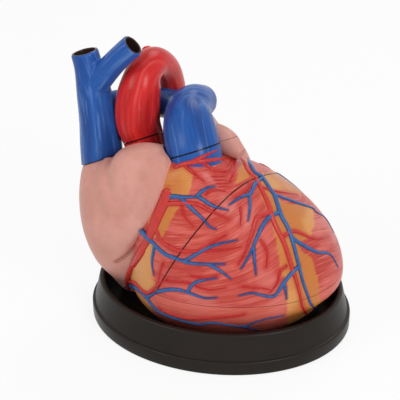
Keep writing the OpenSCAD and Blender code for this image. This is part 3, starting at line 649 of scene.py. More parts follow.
def brush_strokes():
    """Group: strokes of a fine brush along the third number of the lay, with broader ones under them."""
    group, start, end = plain_group(
        "brush_strokes", [("Lay", "NodeSocketVector"), ("Fineness", "NodeSocketFloat"),
                          ("Length", "NodeSocketFloat"),
                          ("Seed", "NodeSocketFloat")], [("Fine", "NodeSocketFloat"),
                                                         ("Broad", "NodeSocketFloat")])
    for name, share, detail in (("Fine", 1.0, 2.0), ("Broad", 0.3, 3.0)):
        wide = wire(group, "ShaderNodeMath", {0: start.outputs["Fineness"], 1: share}, operation="MULTIPLY")
        long = wire(group, "ShaderNodeMath", {0: wide.outputs[0], 1: start.outputs["Length"]},
                    operation="DIVIDE")
        scale = wire(group, "ShaderNodeCombineXYZ", {0: wide.outputs[0], 1: wide.outputs[0],
                                                     2: long.outputs[0]})
        place = wire(group, "ShaderNodeVectorMath", {0: start.outputs["Lay"], 1: scale.outputs[0]},
                     operation="MULTIPLY")
        shift = wire(group, "ShaderNodeCombineXYZ", {1: start.outputs["Seed"]})
        moved = wire(group, "ShaderNodeVectorMath", {0: place.outputs[0], 1: shift.outputs[0]},
                     operation="ADD")
        noise = wire(group, "ShaderNodeTexNoise", {"Vector": moved.outputs[0], "Scale": 1.0, "Detail": detail,
                                                   "Roughness": 0.55, "Distortion": 0.15})
        group.links.new(noise.outputs[0], end.inputs[name])
    return group


strokes = brush_strokes()


def noted(tree, name, vector=False):
    """Reads what note() kept."""
    return wire(tree, "ShaderNodeAttribute", attribute_name=name).outputs["Vector" if vector else "Fac"]


def spread(tree, value, low, high, to_low=0.0, to_high=1.0):
    return wire(tree, "ShaderNodeMapRange", {"Value": value, 1: low, 2: high, 3: to_low, 4: to_high},
                interpolation_type="SMOOTHSTEP").outputs[0]


def mixed(tree, share, first, second):
    """A mix of two colours, each a socket or a row of three."""
    both = {0: share}
    for slot, colour in ((6, first), (7, second)):
        both[slot] = colour if isinstance(colour, bpy.types.NodeSocket) else (*colour, 1)
    return wire(tree, "ShaderNodeMix", both, data_type="RGBA").outputs[2]


def coat(tree, under, value, low, high, share, *paint):
    """A paint laid over a colour, up to a share of it, where a value runs from low to high."""
    return mixed(tree, spread(tree, value, low, high, 0.0, share), under, linear(*paint))


def calc(tree, how, first, second=0.0):
    return wire(tree, "ShaderNodeMath", {0: first, 1: second}, operation=how).outputs[0]


def stroke_layer(tree, fineness, length, seed):
    """A brush_strokes group set for one paint: its fine and its broad strokes."""
    layer = wire(tree, "ShaderNodeGroup", {"Lay": noted(tree, "lay", True)}, node_tree=strokes)
    layer.inputs["Fineness"].default_value = fineness
    layer.inputs["Length"].default_value = length
    layer.inputs["Seed"].default_value = seed
    return layer.outputs["Fine"], layer.outputs["Broad"]


def new_paint(name):
    material = bpy.data.materials.new(name)
    material.use_nodes = True
    material.node_tree.nodes.clear()
    return material, material.node_tree


def varnish(tree, colour, height=None, rough=0.3, relief=0.25, depth=0.0006):
    """The glossy finish over a paint: the Principled shader, its bump and the output."""
    gloss = wire(tree, "ShaderNodeTexNoise", {"Vector": wire(tree, "ShaderNodeTexCoord").outputs["Object"],
                                              "Scale": 30.0, "Detail": 3.0})
    inputs = {"Base Color": colour,
              "Roughness": spread(tree, gloss.outputs[0], 0.3, 0.7, rough - 0.04, rough + 0.06)}
    if height is not None:
        inputs["Normal"] = wire(tree, "ShaderNodeBump", {"Strength": relief, "Distance": depth,
                                                         "Height": height}).outputs[0]
    shader = wire(tree, "ShaderNodeBsdfPrincipled", {**inputs, "Specular IOR Level": 0.2})
    wire(tree, "ShaderNodeOutputMaterial", {"Surface": shader.outputs[0]})


def muscle_paint():
    material, tree = new_paint("muscle_paint")
    fine, broad = stroke_layer(tree, 0.62, 9.0, 3.0)
    hatch = wire(tree, "ShaderNodeTexWave", {"Vector": noted(tree, "lay", True), "Scale": 0.16,
                                             "Distortion": 3.0,
                                             "Detail": 2.0, "Detail Scale": 0.4}).outputs["Fac"]
    patch = wire(tree, "ShaderNodeTexNoise", {"Vector": wire(tree, "ShaderNodeTexCoord").outputs["Object"],
                                              "Scale": 24.0, "Detail": 1.0}).outputs[0]
    colour = mixed(tree, spread(tree, broad, 0.36, 0.64), linear(192, 72, 60), linear(210, 98, 88))
    colour = coat(tree, colour, patch, 0.54, 0.7, 0.7, 214, 116, 106)
    colour = coat(tree, colour, patch, 0.46, 0.34, 0.6, 186, 60, 54)
    colour = coat(tree, colour, fine, 0.46, 0.3, 0.6, 168, 46, 42)
    colour = mixed(tree, calc(tree, "MULTIPLY", spread(tree, hatch, 0.3, 0.05),
                              spread(tree, broad, 0.6, 0.44, 0.1, 0.5)),
                   colour, linear(166, 42, 40))
    colour = coat(tree, colour, fine, 0.56, 0.7, 0.45, 228, 138, 124)
    # Painted highlight: below the level parting face the muscle is painted paler.
    colour = coat(tree, colour, noted(tree, "low"), 64.5, 60, 0.45, 220, 112, 96)
    uneven = calc(tree, "ADD", spread(tree, fine, 0.3, 0.7, -0.3, 0.3),
                  spread(tree, broad, 0.3, 0.7, -0.7, 0.7))
    fat = mixed(tree, spread(tree, patch, 0.4, 0.62), linear(198, 122, 60), linear(214, 150, 86))
    fat = coat(tree, fat, fine, 0.46, 0.3, 0.3, 196, 100, 56)
    colour = mixed(tree, spread(tree, calc(tree, "ADD", noted(tree, "fat"), uneven), -1.4, 1.4, 0.0, 0.96),
                   colour, fat)
    colour = coat(tree, colour, noted(tree, "by_artery"), 5.0, 1.5, 0.5, 186, 48, 42)
    colour = coat(tree, colour, noted(tree, "by_vein"), 2.8, 1.2, 0.5, 112, 44, 70)
    # Painted shade with some grime: a dark line along the parting faces, where the gap between the pieces lies
    # in shade.
    colour = coat(tree, colour, noted(tree, "seam_shade_and_grime"), 0.9, 0.4, 0.9, 60, 14, 14)
    inner = mixed(tree, spread(tree, broad, 0.4, 0.6), linear(206, 112, 98), linear(182, 78, 68))
    colour = mixed(tree, spread(tree, noted(tree, "deep"), 0.6, 1.6), colour, inner)
    varnish(tree, colour, fine, 0.3, 0.35)
    return material


muscle_finish = muscle_paint()


# The two valves between the chambers: place, way and radius of the ring, and the length of the hole
right_valve = (np.array([-76, -24, 95.0]), unit(np.array([1, -0.1, 0])), 19.0)
left_valve = (np.array([-14, 43, 136.0]), unit(np.array([0.78, -0.56, -0.24])), 16.0)
right_way_len, left_way_len = 44, 52
ring_bite = 1.2


def chamber_tools(tag):
    """The hollows of the two ventricles and the ways out of them, as solids to cut with."""
    right_hollow = sweep("right_hollow" + tag, right_chamber_path, sides=56, steps=60)
    right_hollow = carve("right_room" + tag, right_hollow,
                         cut=[sweep("septum" + tag, left_chamber_path, septum_t, sides=56, steps=60)])
    tools = [right_hollow]
    for name, rows in (("left_room", left_chamber_path), ("right_way", right_outlet_path),
                       ("left_way", left_outlet_path)):
        tools.append(sweep(name + tag, rows, sides=56, steps=50))
    for (place, way, r), length in ((right_valve, right_way_len), (left_valve, left_way_len)):
        line = place + np.outer([-length / 2, length / 2], way)
        tools.append(skin("valve_hole" + tag, tube_rings(line, [r + ring_bite, r + ring_bite], sides=56)))
    return tools


def rods(name, places, way, r, start, end, sides=48):
    """Straight round rods that stand in places along a way."""
    return [skin(name + str(n), tube_rings(np.array(spot) + np.outer([start, end], way), [r, r], sides=sides))
            for n, spot in enumerate(places)]


wall_pin_places = [[11.5, -8, 110], [0, 20, 70], [26, -12, 140]]
pin_r, pin_root, socket_r, socket_start, socket_len = 3, 12, 4.75, 4, 12
press_room, slide_room, tight_gap = 0.02, 1, 0.08
wall_way = np.array([math.cos(wall_heading), math.sin(wall_heading), 0.0])
fitted_faces = [(spot + way * gap, way)
                for (spot, way), gap in zip(wall_faces, (part_gap, tight_gap, tight_gap))]
ventricles = carve("ventricle_body", muscle, spare=[muscle], cut=chamber_tools("_rear") + [
    all_past("wall_block", wall_faces), all_past("trunk_block", [(trunk_seat, cap_way)])])
pin_holes = rods("pin_hole", wall_pin_places, wall_way, pin_r + slide_room, -pin_root, socket_start
                 + slide_room)
socket_holes = rods("socket_hole", wall_pin_places, wall_way, socket_r + press_room, socket_start,
                    socket_start + socket_len)
front_wall = carve("front_wall_body", muscle, spare=[muscle], keep=[all_past("wall_space", fitted_faces)],
                   cut=chamber_tools("_front") + pin_holes + socket_holes)
for piece, node, body in ((ventricles, "ventricles", "stand"), (front_wall, "front_wall", "front_piece")):
    mark_muscle(piece)
    dress(piece, muscle_finish)
    stand_for(piece, [node], body)

# Right atrium and its auricle. One hollow form moulded in a satin dusty pink, with the lobe of the auricle
# folded over its front. It is glued to the muscle, and the upper vena cava stands on it.
atrium_wall = 5
vessel_wall = 3
lift_room = 10
atrium_rows = np.array([
    [22, -80, 2, 23, 26], [40, -81, -1, 31, 34], [60, -81, -6, 43, 42], [90, -80, -10, 52, 48],
    [120, -80, -12, 54, 48],
    [145, -82, -12, 50, 44], [158, -86, -12, 42, 36], [167, -92, -12, 27, 24], [173, -97, -12, 10, 9]], float)
auricle_rows = np.array([
    [84, -92, -45, 6, 5], [96, -86, -47, 18, 14], [118, -74, -45, 29, 21], [143, -64, -42, 33, 24],
    [163, -60, -40, 35, 26], [178, -57, -40, 34, 24], [189, -56, -40, 25, 18], [195, -55, -40, 9, 7]], float)
left_atrium_rows = np.array([
    [100, -24, 48, 26, 16], [115, -27, 48, 42, 26], [135, -30, 46, 48, 30], [152, -32, 44, 46, 29],
    [166, -34, 42, 36, 25], [178, -36, 41, 25, 21], [190, -38, 43, 17, 15], [196, -38, 44, 7, 6]], float)
left_auricle_path = [[-20, 12, 186, 9], [-8, 8, 188, 13], [5, 2, 186.5, 12.5], [14, -3, 184, 9.5],
                     [22, -6, 181, 6]]
aorta_path = [
    [-62, -4, 150, 18], [-74, -2, 183, 19.5], [-79, -2, 200, 21], [-79, -1, 216, 21], [-77, 1, 232, 19.5],
    [-75, 9, 245, 16.5], [-71, 26, 248, 15], [-67, 46, 234, 14], [-66, 60, 212, 13.5], [-66, 66, 190, 13]]
trunk_path = [[-10, -36, 163, 24], [-17, -28, 190, 25], [-26, -12, 206, 24], [-32, 4, 214, 20],
              [-31, 18, 216, 17],
              [-28, 40, 208, 15]]
right_lung_path = [[-34, 6, 212, 16], [-52, 22, 209, 14.5], [-76, 32, 205, 14], [-98, 34, 201, 13.5],
                   [-116, 30, 198, 13]]
cava_path = [[-113, -10, 148, 20], [-113.5, -10, 175, 20], [-115, -9, 200, 18.5], [-119, -7, 225, 16.5],
             [-124, -5, 250, 13.5], [-128, -4, 265, 13]]
left_branch_path = [[-117, -8, 234, 12], [-105, -9, 250, 11.5], [-93, -10, 264, 11], [-78, -10, 279, 11]]
lower_cava_path = [[-94, 22, 66, 15], [-96, 40, 62, 15], [-96, 56, 56, 15]]
lung_vein_paths = [
    [[-18, 58, 142, 9], [-14, 70, 140, 9], [-12, 84, 136, 9]],
    [[-10, 60, 122, 9], [-4, 74, 118, 9], [0, 88, 111, 9]],
    [[-48, 62, 120, 9], [-55, 76, 118, 9], [-60, 90, 114, 9]],
    [[-42, 64, 99, 9], [-48, 76, 96, 9], [-53, 90, 91, 9]]]
arch_branch_paths = [[[-75, 15, 247, 7], [-85, 21, 253, 7], [-94, 26, 257, 7]],
                     [[-71, 28, 247, 6], [-78, 34, 252, 6], [-84, 39, 254, 6]],
                     [[-70, 40, 240, 6], [-76, 47, 244, 6], [-82, 54, 247, 6]]]
# The slit between the auricle's lower edge and the atrium, in spots of the picture
slit_spots = [(148, 226), (140.5, 240), (131.5, 251), (124, 258), (116, 263)]
# The edge of the lobe where it lies over the muscle, painted paler there as a highlight
lobe_highlight_spots = [(170, 152), (171, 160), (169, 173), (165.5, 185), (160, 200), (153, 214), (147, 224)]
# Three rounds that thicken the lobe: spots of the picture, with the radius and how far each stands out
lobe_rounds = [[(164, 155, 6, 3), (164.5, 164, 7, 5), (162, 174, 7, 5.5), (158.5, 185, 7, 5.5),
                (153, 199, 7, 5.5),
                (146.5, 212, 7, 5.5), (140.5, 223, 6.5, 5), (133, 236, 6, 4), (124, 248, 5, 2.5),
                (114, 257, 4, 0.5)],
               [(152, 156, 8, 2), (152, 172, 9, 4), (147, 190, 9, 4.5), (138, 208, 9, 4), (129, 226, 8, 3),
                (118, 242, 6, 1)],
               [(111, 158, 8, 2), (107, 166, 11, 4.5), (106, 178, 13, 6), (107, 192, 13, 5.5),
                (109, 208, 11, 3),
                (110, 222, 8, 1)]]


def links_of(piece):
    """The two ends of every edge of a piece."""
    ends = np.empty(len(piece.data.edges) * 2, int)
    piece.data.edges.foreach_get("vertices", ends)
    return ends[::2], ends[1::2]


def move_to(piece, points):
    piece.data.vertices.foreach_set("co", (points * MM).ravel())
    piece.data.update()


def soften(name, piece, voxel, rounds, give=None):
    """Melts the joins of a form into one soft skin. Give says how much each point may move."""
    even = piece.modifiers.new("even", "REMESH")
    even.mode, even.voxel_size = "VOXEL", voxel * MM
    soft = carve(name, piece)
    points = corners(soft)
    a, b = links_of(soft)
    count = np.bincount(a, minlength=len(points)) + np.bincount(b, minlength=len(points))
    share = 0.5 if give is None else 0.5 * np.clip(give(points), 0, 1)[:, None]
    for _ in range(rounds):
        total = np.stack([np.bincount(a, points[b, k], len(points))
                          + np.bincount(b, points[a, k], len(points))
                          for k in range(3)], 1)
        points += share * (total / count[:, None] - points)
    move_to(soft, points)
    return soft


def shifted(piece, shift):
    move_to(piece, corners(piece) + shift)
    return piece


def wrapped(name, *pieces):
    """The tightest bulging skin round some pieces."""
    hull = bmesh.new()
    for spot in np.vstack([corners(piece) for piece in pieces]) * MM:
        hull.verts.new(spot)
    made = bmesh.ops.convex_hull(hull, input=hull.verts)
    bmesh.ops.delete(hull, geom=list({v for v in made["geom_interior"] + made["geom_unused"]
                                      if isinstance(v, bmesh.types.BMVert)}), context="VERTS")
    mesh = bpy.data.meshes.new(name)
    hull.to_mesh(mesh)
    hull.free()
    for piece in pieces:
        bpy.data.objects.remove(piece)
    piece = bpy.data.objects.new(name, mesh)
    bpy.context.scene.collection.objects.link(piece)
    return piece


def hollow_of(name, rows, sides=96, steps=50):
    """The hollow of a stacked form, one wall inside it."""
    low, high = rows[0][0], rows[-1][0]
    keep = 1 - 2 * atrium_wall / (high - low)
    inner = rows.copy()
    inner[:, 0] = (low + high) / 2 + (rows[:, 0] - (low + high) / 2) * keep
    inner[:, 3:5] = np.maximum(rows[:, 3:5] - atrium_wall, 2)
    return stack(name, inner, 0.0, sides, steps)


def line_on(surface, spots, per_step=1.2):
    """A smooth line on a surface, behind spots of the picture, and the ways out of the surface there."""
    spots = np.array(spots, float)
    length = np.linalg.norm(np.diff(spots, axis=0), axis=1).sum()
    found = [spot_on(surface, x, y)
             for x, y in along(spots, np.linspace(0, len(spots) - 1, int(length / per_step) + 2))]
    found = [f for f in found if f[0] is not None]
    return np.array([f[0] for f in found]), np.array([f[1] for f in found])


def gap_to(line, points):
    """How far points lie from a line of points."""
    nearest = np.full(len(points), 1e9)
    for a, b in zip(line[:-1], line[1:]):
        way = b - a
        t = np.clip(((points - a) @ way) / max(way @ way, 1e-9), 0, 1)
        nearest = np.minimum(nearest, np.linalg.norm(points - a - t[:, None] * way, axis=1))
    return nearest


def note_deep(piece, form):
    """Notes how far every point lies under the skin of the whole form."""
    note(piece, "deep", [form.find_nearest(p)[3] for p in corners(piece).tolist()])


def soft_skin_paint(name, base, pale, dark):
    """A satin paint that is slightly uneven, with painted shade in and round the slit, a painted highlight
    along the lobe's edge, and bare in the cut faces.
    """
    material, tree = new_paint(name)
    place = wire(tree, "ShaderNodeTexCoord").outputs["Object"]
    cloud = wire(tree, "ShaderNodeTexNoise", {"Vector": place, "Scale": 22.0, "Detail": 4.0,
                                              "Roughness": 0.5})
    fleck = wire(tree, "ShaderNodeTexNoise", {"Vector": place, "Scale": 160.0, "Detail": 3.0,
                                              "Roughness": 0.6})
    colour = mixed(tree, spread(tree, cloud.outputs[0], 0.35, 0.65), base, pale)
    colour = mixed(tree, spread(tree, fleck.outputs[0], 0.55, 0.3, 0.0, 0.18), colour, dark)
    # Painted shade: dark in the slit under the lobe, with a softer shade round it.
    colour = coat(tree, colour, noted(tree, "slit_shade_gap"), 2.4, 1.1, 0.95, 70, 26, 22)
    colour = coat(tree, colour, noted(tree, "slit_shade_gap"), 6.0, 1.5, 0.3, 176, 92, 76)
    # Painted highlight: the lobe's edge is painted paler.
    colour = coat(tree, colour, noted(tree, "edge"), 5.0, 0.5, 0.8, 238, 164, 152)
    colour = mixed(tree, spread(tree, noted(tree, "deep"), 0.8, 2.0), colour, linear(206, 150, 138))
    varnish(tree, colour, cloud.outputs[0], 0.4, 0.12, 0.0008)
    return material


atrium_finish = soft_skin_paint("atrium_paint", linear(204, 144, 130), linear(216, 156, 143),
                                linear(190, 118, 102))
right_form = carve("right_form", carve("atrium_body", stack("atrium_form", atrium_rows, sides=140, steps=80),
                                       cut=[all_past("cava_block", [(cava_seat, cap_way)])]),
                   add=[stack("auricle_form", auricle_rows, sides=120, steps=70)])
lobe_ground = tree_of(muscle, right_form)
lobe_tubes = []
for n, rows in enumerate(lobe_rounds):
    met = [(*spot_on(lobe_ground, x, y)[:2], r, out) for x, y, r,
           out in along(rows, np.linspace(0, len(rows) - 1, 24))]
    path = np.array([[*(spot + way * (out - r)), r] for spot, way, r, out in met if spot is not None])
    for _ in range(3):
        path[1:-1, :3] = (path[:-2, :3] + path[1:-1, :3] * 2 + path[2:, :3]) / 4
    lobe_tubes.append(sweep("lobe" + str(n), path, sides=32, steps=70))
right_form = carve("right_form", right_form, add=lobe_tubes)
right_form = soften("right_form", right_form, 1.6, 24, lambda points: np.abs((points - cava_seat) @ cap_way)
                    / 6 - 0.3)
slit, _ = line_on(tree_of(right_form), slit_spots)
points = corners(right_form)
ways = np.empty(len(points) * 3)
right_form.data.vertices.foreach_get("normal", ways)
groove = 2.4 * np.exp(-(gap_to(slit, points) / 1.5) ** 2)
move_to(right_form, points - ways.reshape(-1, 3) * groove[:, None])
right_skin = tree_of(right_form)
right_atrium = carve("right_atrium_body", right_form, spare=[muscle], cut=[
    muscle, carve("atrium_room", hollow_of("atrium_hollow", atrium_rows),
                  cut=[all_past("roof_limit", [(cava_seat, cap_way)], -atrium_wall)]),
    sweep("cava_bore", cava_path, -vessel_wall, 1),
    carve("cava_room", sweep("cava_round", cava_path, part_gap),
          keep=[all_past("over_cava_seat", [(cava_seat, cap_way)])]),
    sweep("lower_cava_round", lower_cava_path), sweep("aorta_round", aorta_path, part_gap),
    wrapped("left_room_round", stack("left_form_low", left_atrium_rows, sides=72, steps=40),
            shifted(stack("left_form_high", left_atrium_rows, sides=72, steps=40), lift_room * cap_way))]
    + [shifted(sweep("trunk_round" + str(n), trunk_path, part_gap), n / 2 * lift_room * cap_way)
       for n in range(3)])
note_deep(right_atrium, right_skin)
# Distance to the slit, for its painted shade
note(right_atrium, "slit_shade_gap", gap_to(slit, corners(right_atrium)))
# Distance to the lobe's edge, for its painted highlight
note(right_atrium, "edge", gap_to(line_on(right_skin, lobe_highlight_spots)[0], corners(right_atrium)))
dress(right_atrium, atrium_finish, 38)
stand_for(right_atrium, ["right_atrium", "right_auricle"], "stand")

# Left atrium and its auricle. The same satin pink, in a lower part glued to the muscle and a roof that
# lifts off with the cap of vessels.
cap_pin_places = [[-67, 46, 143.2], [-12, 36, 171.5]]
boss_r, boss_len = 8, 16


def left_shell(tag, start, end):
    """The whole left atrium, hollow, with the bosses for the pins."""
    shell = carve("left_shell" + tag, stack("left_body" + tag, left_atrium_rows, sides=140, steps=80),
                  cut=[hollow_of("left_hollow" + tag, left_atrium_rows)])
    bosses = [carve("boss" + tag, rod,
                    keep=[stack("left_limit" + tag, left_atrium_rows, sides=140, steps=80)])
              for rod in rods("boss_rod" + tag, cap_pin_places, cap_way, boss_r, start, end)]
    return carve("left_bossed" + tag, shell, add=bosses)


def left_auricle(tag):
    return carve("left_auricle" + tag, sweep("auricle_round" + tag, left_auricle_path, sides=80, steps=60),
                 cut=[stack("left_solid" + tag, left_atrium_rows, sides=140, steps=80)])


left_low = carve("left_atrium_body", left_shell("_low", -boss_len, 0), spare=[muscle],
                 add=[left_auricle("_low")], cut=[
    muscle, all_past("left_top", [(trunk_seat, cap_way)]), sweep("aorta_by_left", aorta_path),
    sweep("trunk_by_left", trunk_path, part_gap), sweep("lung_by_left", right_lung_path, part_gap)]
    + [sweep("vein_bore" + str(n), rows, -vessel_wall, 6, steps=12) for n, rows in enumerate(lung_vein_paths)]
    + rods("cap_hole", cap_pin_places, cap_way, pin_r + press_room, -pin_root, 1))
left_high = carve("left_roof_body", left_shell("_high", 0, boss_len), add=[left_auricle("_high")],
                  keep=[all_past("left_cap", [(trunk_seat, cap_way)], part_gap)],
                  cut=[sweep("trunk_by_roof", trunk_path), sweep("lung_by_roof", right_lung_path),
                       sweep("aorta_by_roof", aorta_path, part_gap)]
                  + rods("cap_socket_hole", cap_pin_places, cap_way, socket_r + press_room, -1, socket_len))
for piece, nodes, body in ((left_low, ("left_atrium", "left_auricle"), "stand"),
                           (left_high, ("left_atrium_roof", "left_auricle_tip"), "vessel_cap")):
    # The left atrium gets no painted slit shade and no painted edge highlight.
    for name in ("slit_shade_gap", "edge"):
        note(piece, name, np.full(len(piece.data.vertices), 99.0))
    note(piece, "deep", np.zeros(len(piece.data.vertices)))
    dress(piece, atrium_finish, 38)
    stand_for(piece, nodes, body)

# Great vessels. Round tubes with a wall of three millimetres, blue for the veins and the pulmonary
# arteries, red for the aorta, brushed along their length, with painted shade inside. Those of the cap are
# one glued group that lifts off.


def mark_vessel(piece, paths, seat=None):
    """Notes the place along and round a vessel, the depth under its skin and the way to its seat, where a
    shade line is painted.
    """
    points = corners(piece)
    best = np.full(len(points), 1e9)
    lay, deep = np.zeros((len(points), 3)), np.zeros(len(points))
    for rows in paths:
        path = along(rows, np.linspace(0, len(rows) - 1, 120))
        spots = path[:, :3]
        run = np.concatenate([[0], np.cumsum(np.linalg.norm(np.diff(spots, axis=0), axis=1))])
        ahead = unit(np.gradient(spots, axis=0))
        side = unit(np.cross(ahead, (0.3, -1, 0.1)))
        above = np.cross(side, ahead)
        near = np.argmin(((points[:, None] - spots[None]) ** 2).sum(-1), 1)
        rel = points - spots[near]
        on = (rel * ahead[near]).sum(1)
        off = np.linalg.norm(rel - on[:, None] * ahead[near], axis=1) - path[near, 3]
        closer = np.abs(off + 1) + np.abs(on) * 0.5 < best
        best = np.where(closer, np.abs(off + 1) + np.abs(on) * 0.5, best)
        mine = np.stack([(rel * above[near]).sum(1), (rel * side[near]).sum(1), run[near] + on], 1)
        lay[closer], deep[closer] = mine[closer], -off[closer]
    note(piece, "lay", lay)
    note(piece, "deep", deep)
    note(piece, "seam_shade_and_grime", np.full(len(points), 99.0) if seat is None else np.abs((points - seat) @ cap_way))


def vessel_paint(name, base, pale, dark, inner, pale_share=0.6):
    """A glossy paint brushed along a vessel, with painted shade inside its bore."""
    material, tree = new_paint(name)
    fine, broad = stroke_layer(tree, 0.3, 14.0, 7.0)
    colour = mixed(tree, spread(tree, broad, 0.52, 0.68, 0.0, pale_share), base, pale)
    colour = mixed(tree, spread(tree, broad, 0.48, 0.34, 0.0, 0.6), colour, dark)
    colour = mixed(tree, spread(tree, fine, 0.55, 0.72, 0.0, pale_share * 0.8), colour, pale)
    colour = mixed(tree, spread(tree, fine, 0.46, 0.3, 0.0, 0.35), colour, dark)
    # Painted shade with some grime: a dark line along the vessel's parting face, where the gap lies in shade.
    colour = coat(tree, colour, noted(tree, "seam_shade_and_grime"), 1.1, 0.5, 0.9, 22, 14, 26)
    # Painted shade: the inside of the bore is painted dark.
    colour = mixed(tree, spread(tree, noted(tree, "deep"), 1.2, 1.7), colour, inner)
    varnish(tree, colour, fine, 0.27, 0.15)
    return material


# The last colour of each is the painted shade inside the bores.
blue_finish = vessel_paint("blue_vessel_paint", linear(34, 84, 160), linear(96, 132, 190),
                           linear(24, 56, 118),
                           linear(52, 34, 28))
red_finish = vessel_paint("red_vessel_paint", linear(208, 38, 36), linear(224, 98, 100), linear(160, 26, 26),
                          linear(74, 20, 16), 0.5)


def joined_tubes(name, paths, voxel=1.3, rounds=7):
    """Tubes melted into one outer form."""
    tubes = [sweep(name + str(n), rows, sides=96, steps=80) for n, rows in enumerate(paths)]
    return soften(name, carve(name, tubes[0], add=tubes[1:]), voxel, rounds)


def bores(name, paths, open_ends):
    """What is cut out of a group of tubes, flared at the open ends."""
    return [sweep(name + "_bore" + str(n), rows, -vessel_wall, 1, steps=60, lips=ends)
            for n, (rows, ends) in enumerate(zip(paths, open_ends))]


vessels = [
    ("pulmonary_root", joined_tubes("root_form", [trunk_path]), [trunk_path], [(False, False)], "stand",
     "vein", blue_finish,
     [], [muscle], [(trunk_seat, cap_way)], None),
    ("aortic_root", joined_tubes("aorta_form", [aorta_path]), [aorta_path], [(False, False)], "stand",
     "artery", red_finish,
     [], [muscle], [(aorta_seat, cap_way)], None),
    ("pulmonary_trunk", joined_tubes("trunk_form", [trunk_path, right_lung_path]),
     [trunk_path, right_lung_path],
     [(False, True), (False, True)], "vessel_cap", "vein", blue_finish, [aorta_path], [], None,
     [(trunk_seat, cap_way)]),
    ("aortic_arch", joined_tubes("arch_form", [aorta_path] + arch_branch_paths), [aorta_path],
     [(False, True)],
     "vessel_cap", "artery", red_finish, [], [], None, [(aorta_seat, cap_way)]),
    ("upper_vena_cava", joined_tubes("cava_form", [cava_path, left_branch_path]),
     [cava_path, left_branch_path],
     [(False, True), (False, True)], "vessel_cap", "vein", blue_finish, [aorta_path], [], None,
     [(cava_seat, cap_way)])]
for name, form, paths, ends, body, slot, finish, rounds, solids, below, above in vessels:
    cut = bores(name, paths, ends) + [sweep(name + "_round" + str(n), rows) for n,
                                      rows in enumerate(rounds)] + solids
    if name == "aortic_arch":
        cut += [sweep("branch_bore" + str(n), rows, -2, 3, steps=16, lips=(False, True))
                for n, rows in enumerate(arch_branch_paths)]
    if below:
        cut.append(all_past(name + "_top", below))
    piece = carve(name + "_body", form, keep=[all_past(name + "_space", above, part_gap)] if above else [],
                  cut=cut,
                  spare=[muscle])
    mark_vessel(piece, paths + (arch_branch_paths if name == "aortic_arch" else []), (below or above)[0][0])
    dress(piece, finish, 40)
    stand_for(piece, [name, "arch_branches"] if name == "aortic_arch" else [name], body)

lower_cava = carve("lower_cava_body",
                   sweep("lower_cava", lower_cava_path, sides=96, steps=30, lips=(False, True)),
                   cut=bores("lower_cava", [lower_cava_path], [(False, True)]) + [muscle], spare=[muscle])
lung_veins = []
for n, rows in enumerate(lung_vein_paths):
    lung_veins.append(carve("lung_vein" + str(n),
                            sweep("lung_vein_form", rows, sides=72, steps=24, lips=(False, True)), cut=[
        sweep("lung_vein_bore", rows, -vessel_wall, 1, steps=24, lips=(False, True)),
        stack("left_solid", left_atrium_rows, sides=140, steps=80), muscle,
        stack("right_solid", atrium_rows, sides=100, steps=60)], spare=[muscle]))


def gather(name, pieces):
    """Puts separate closed skins into one piece."""
    joined = bmesh.new()
    for piece in pieces:
        joined.from_mesh(piece.data)
        bpy.data.objects.remove(piece)
    mesh = bpy.data.meshes.new(name)
    joined.to_mesh(mesh)
    joined.free()
    piece = bpy.data.objects.new(name, mesh)
    bpy.context.scene.collection.objects.link(piece)
    return piece


for piece, node, paths, finish, slot in (
        (lower_cava, "lower_vena_cava", [lower_cava_path], blue_finish, "vein"),
        (gather("lung_veins", lung_veins), "pulmonary_veins", lung_vein_paths, red_finish, "artery")):
    mark_vessel(piece, paths)
    dress(piece, finish, 40)
    stand_for(piece, [node], "stand")

# Coronary vessels. Raised lines moulded in one with the heart's wall and painted by hand, red for the
# arteries and blue with dark edges for the veins. They end at the parting faces, where the wall's own
# stretch of each goes on.
vessel_tops = tree_of(muscle, bpy.data.objects["pulmonary_root_body"], right_atrium)
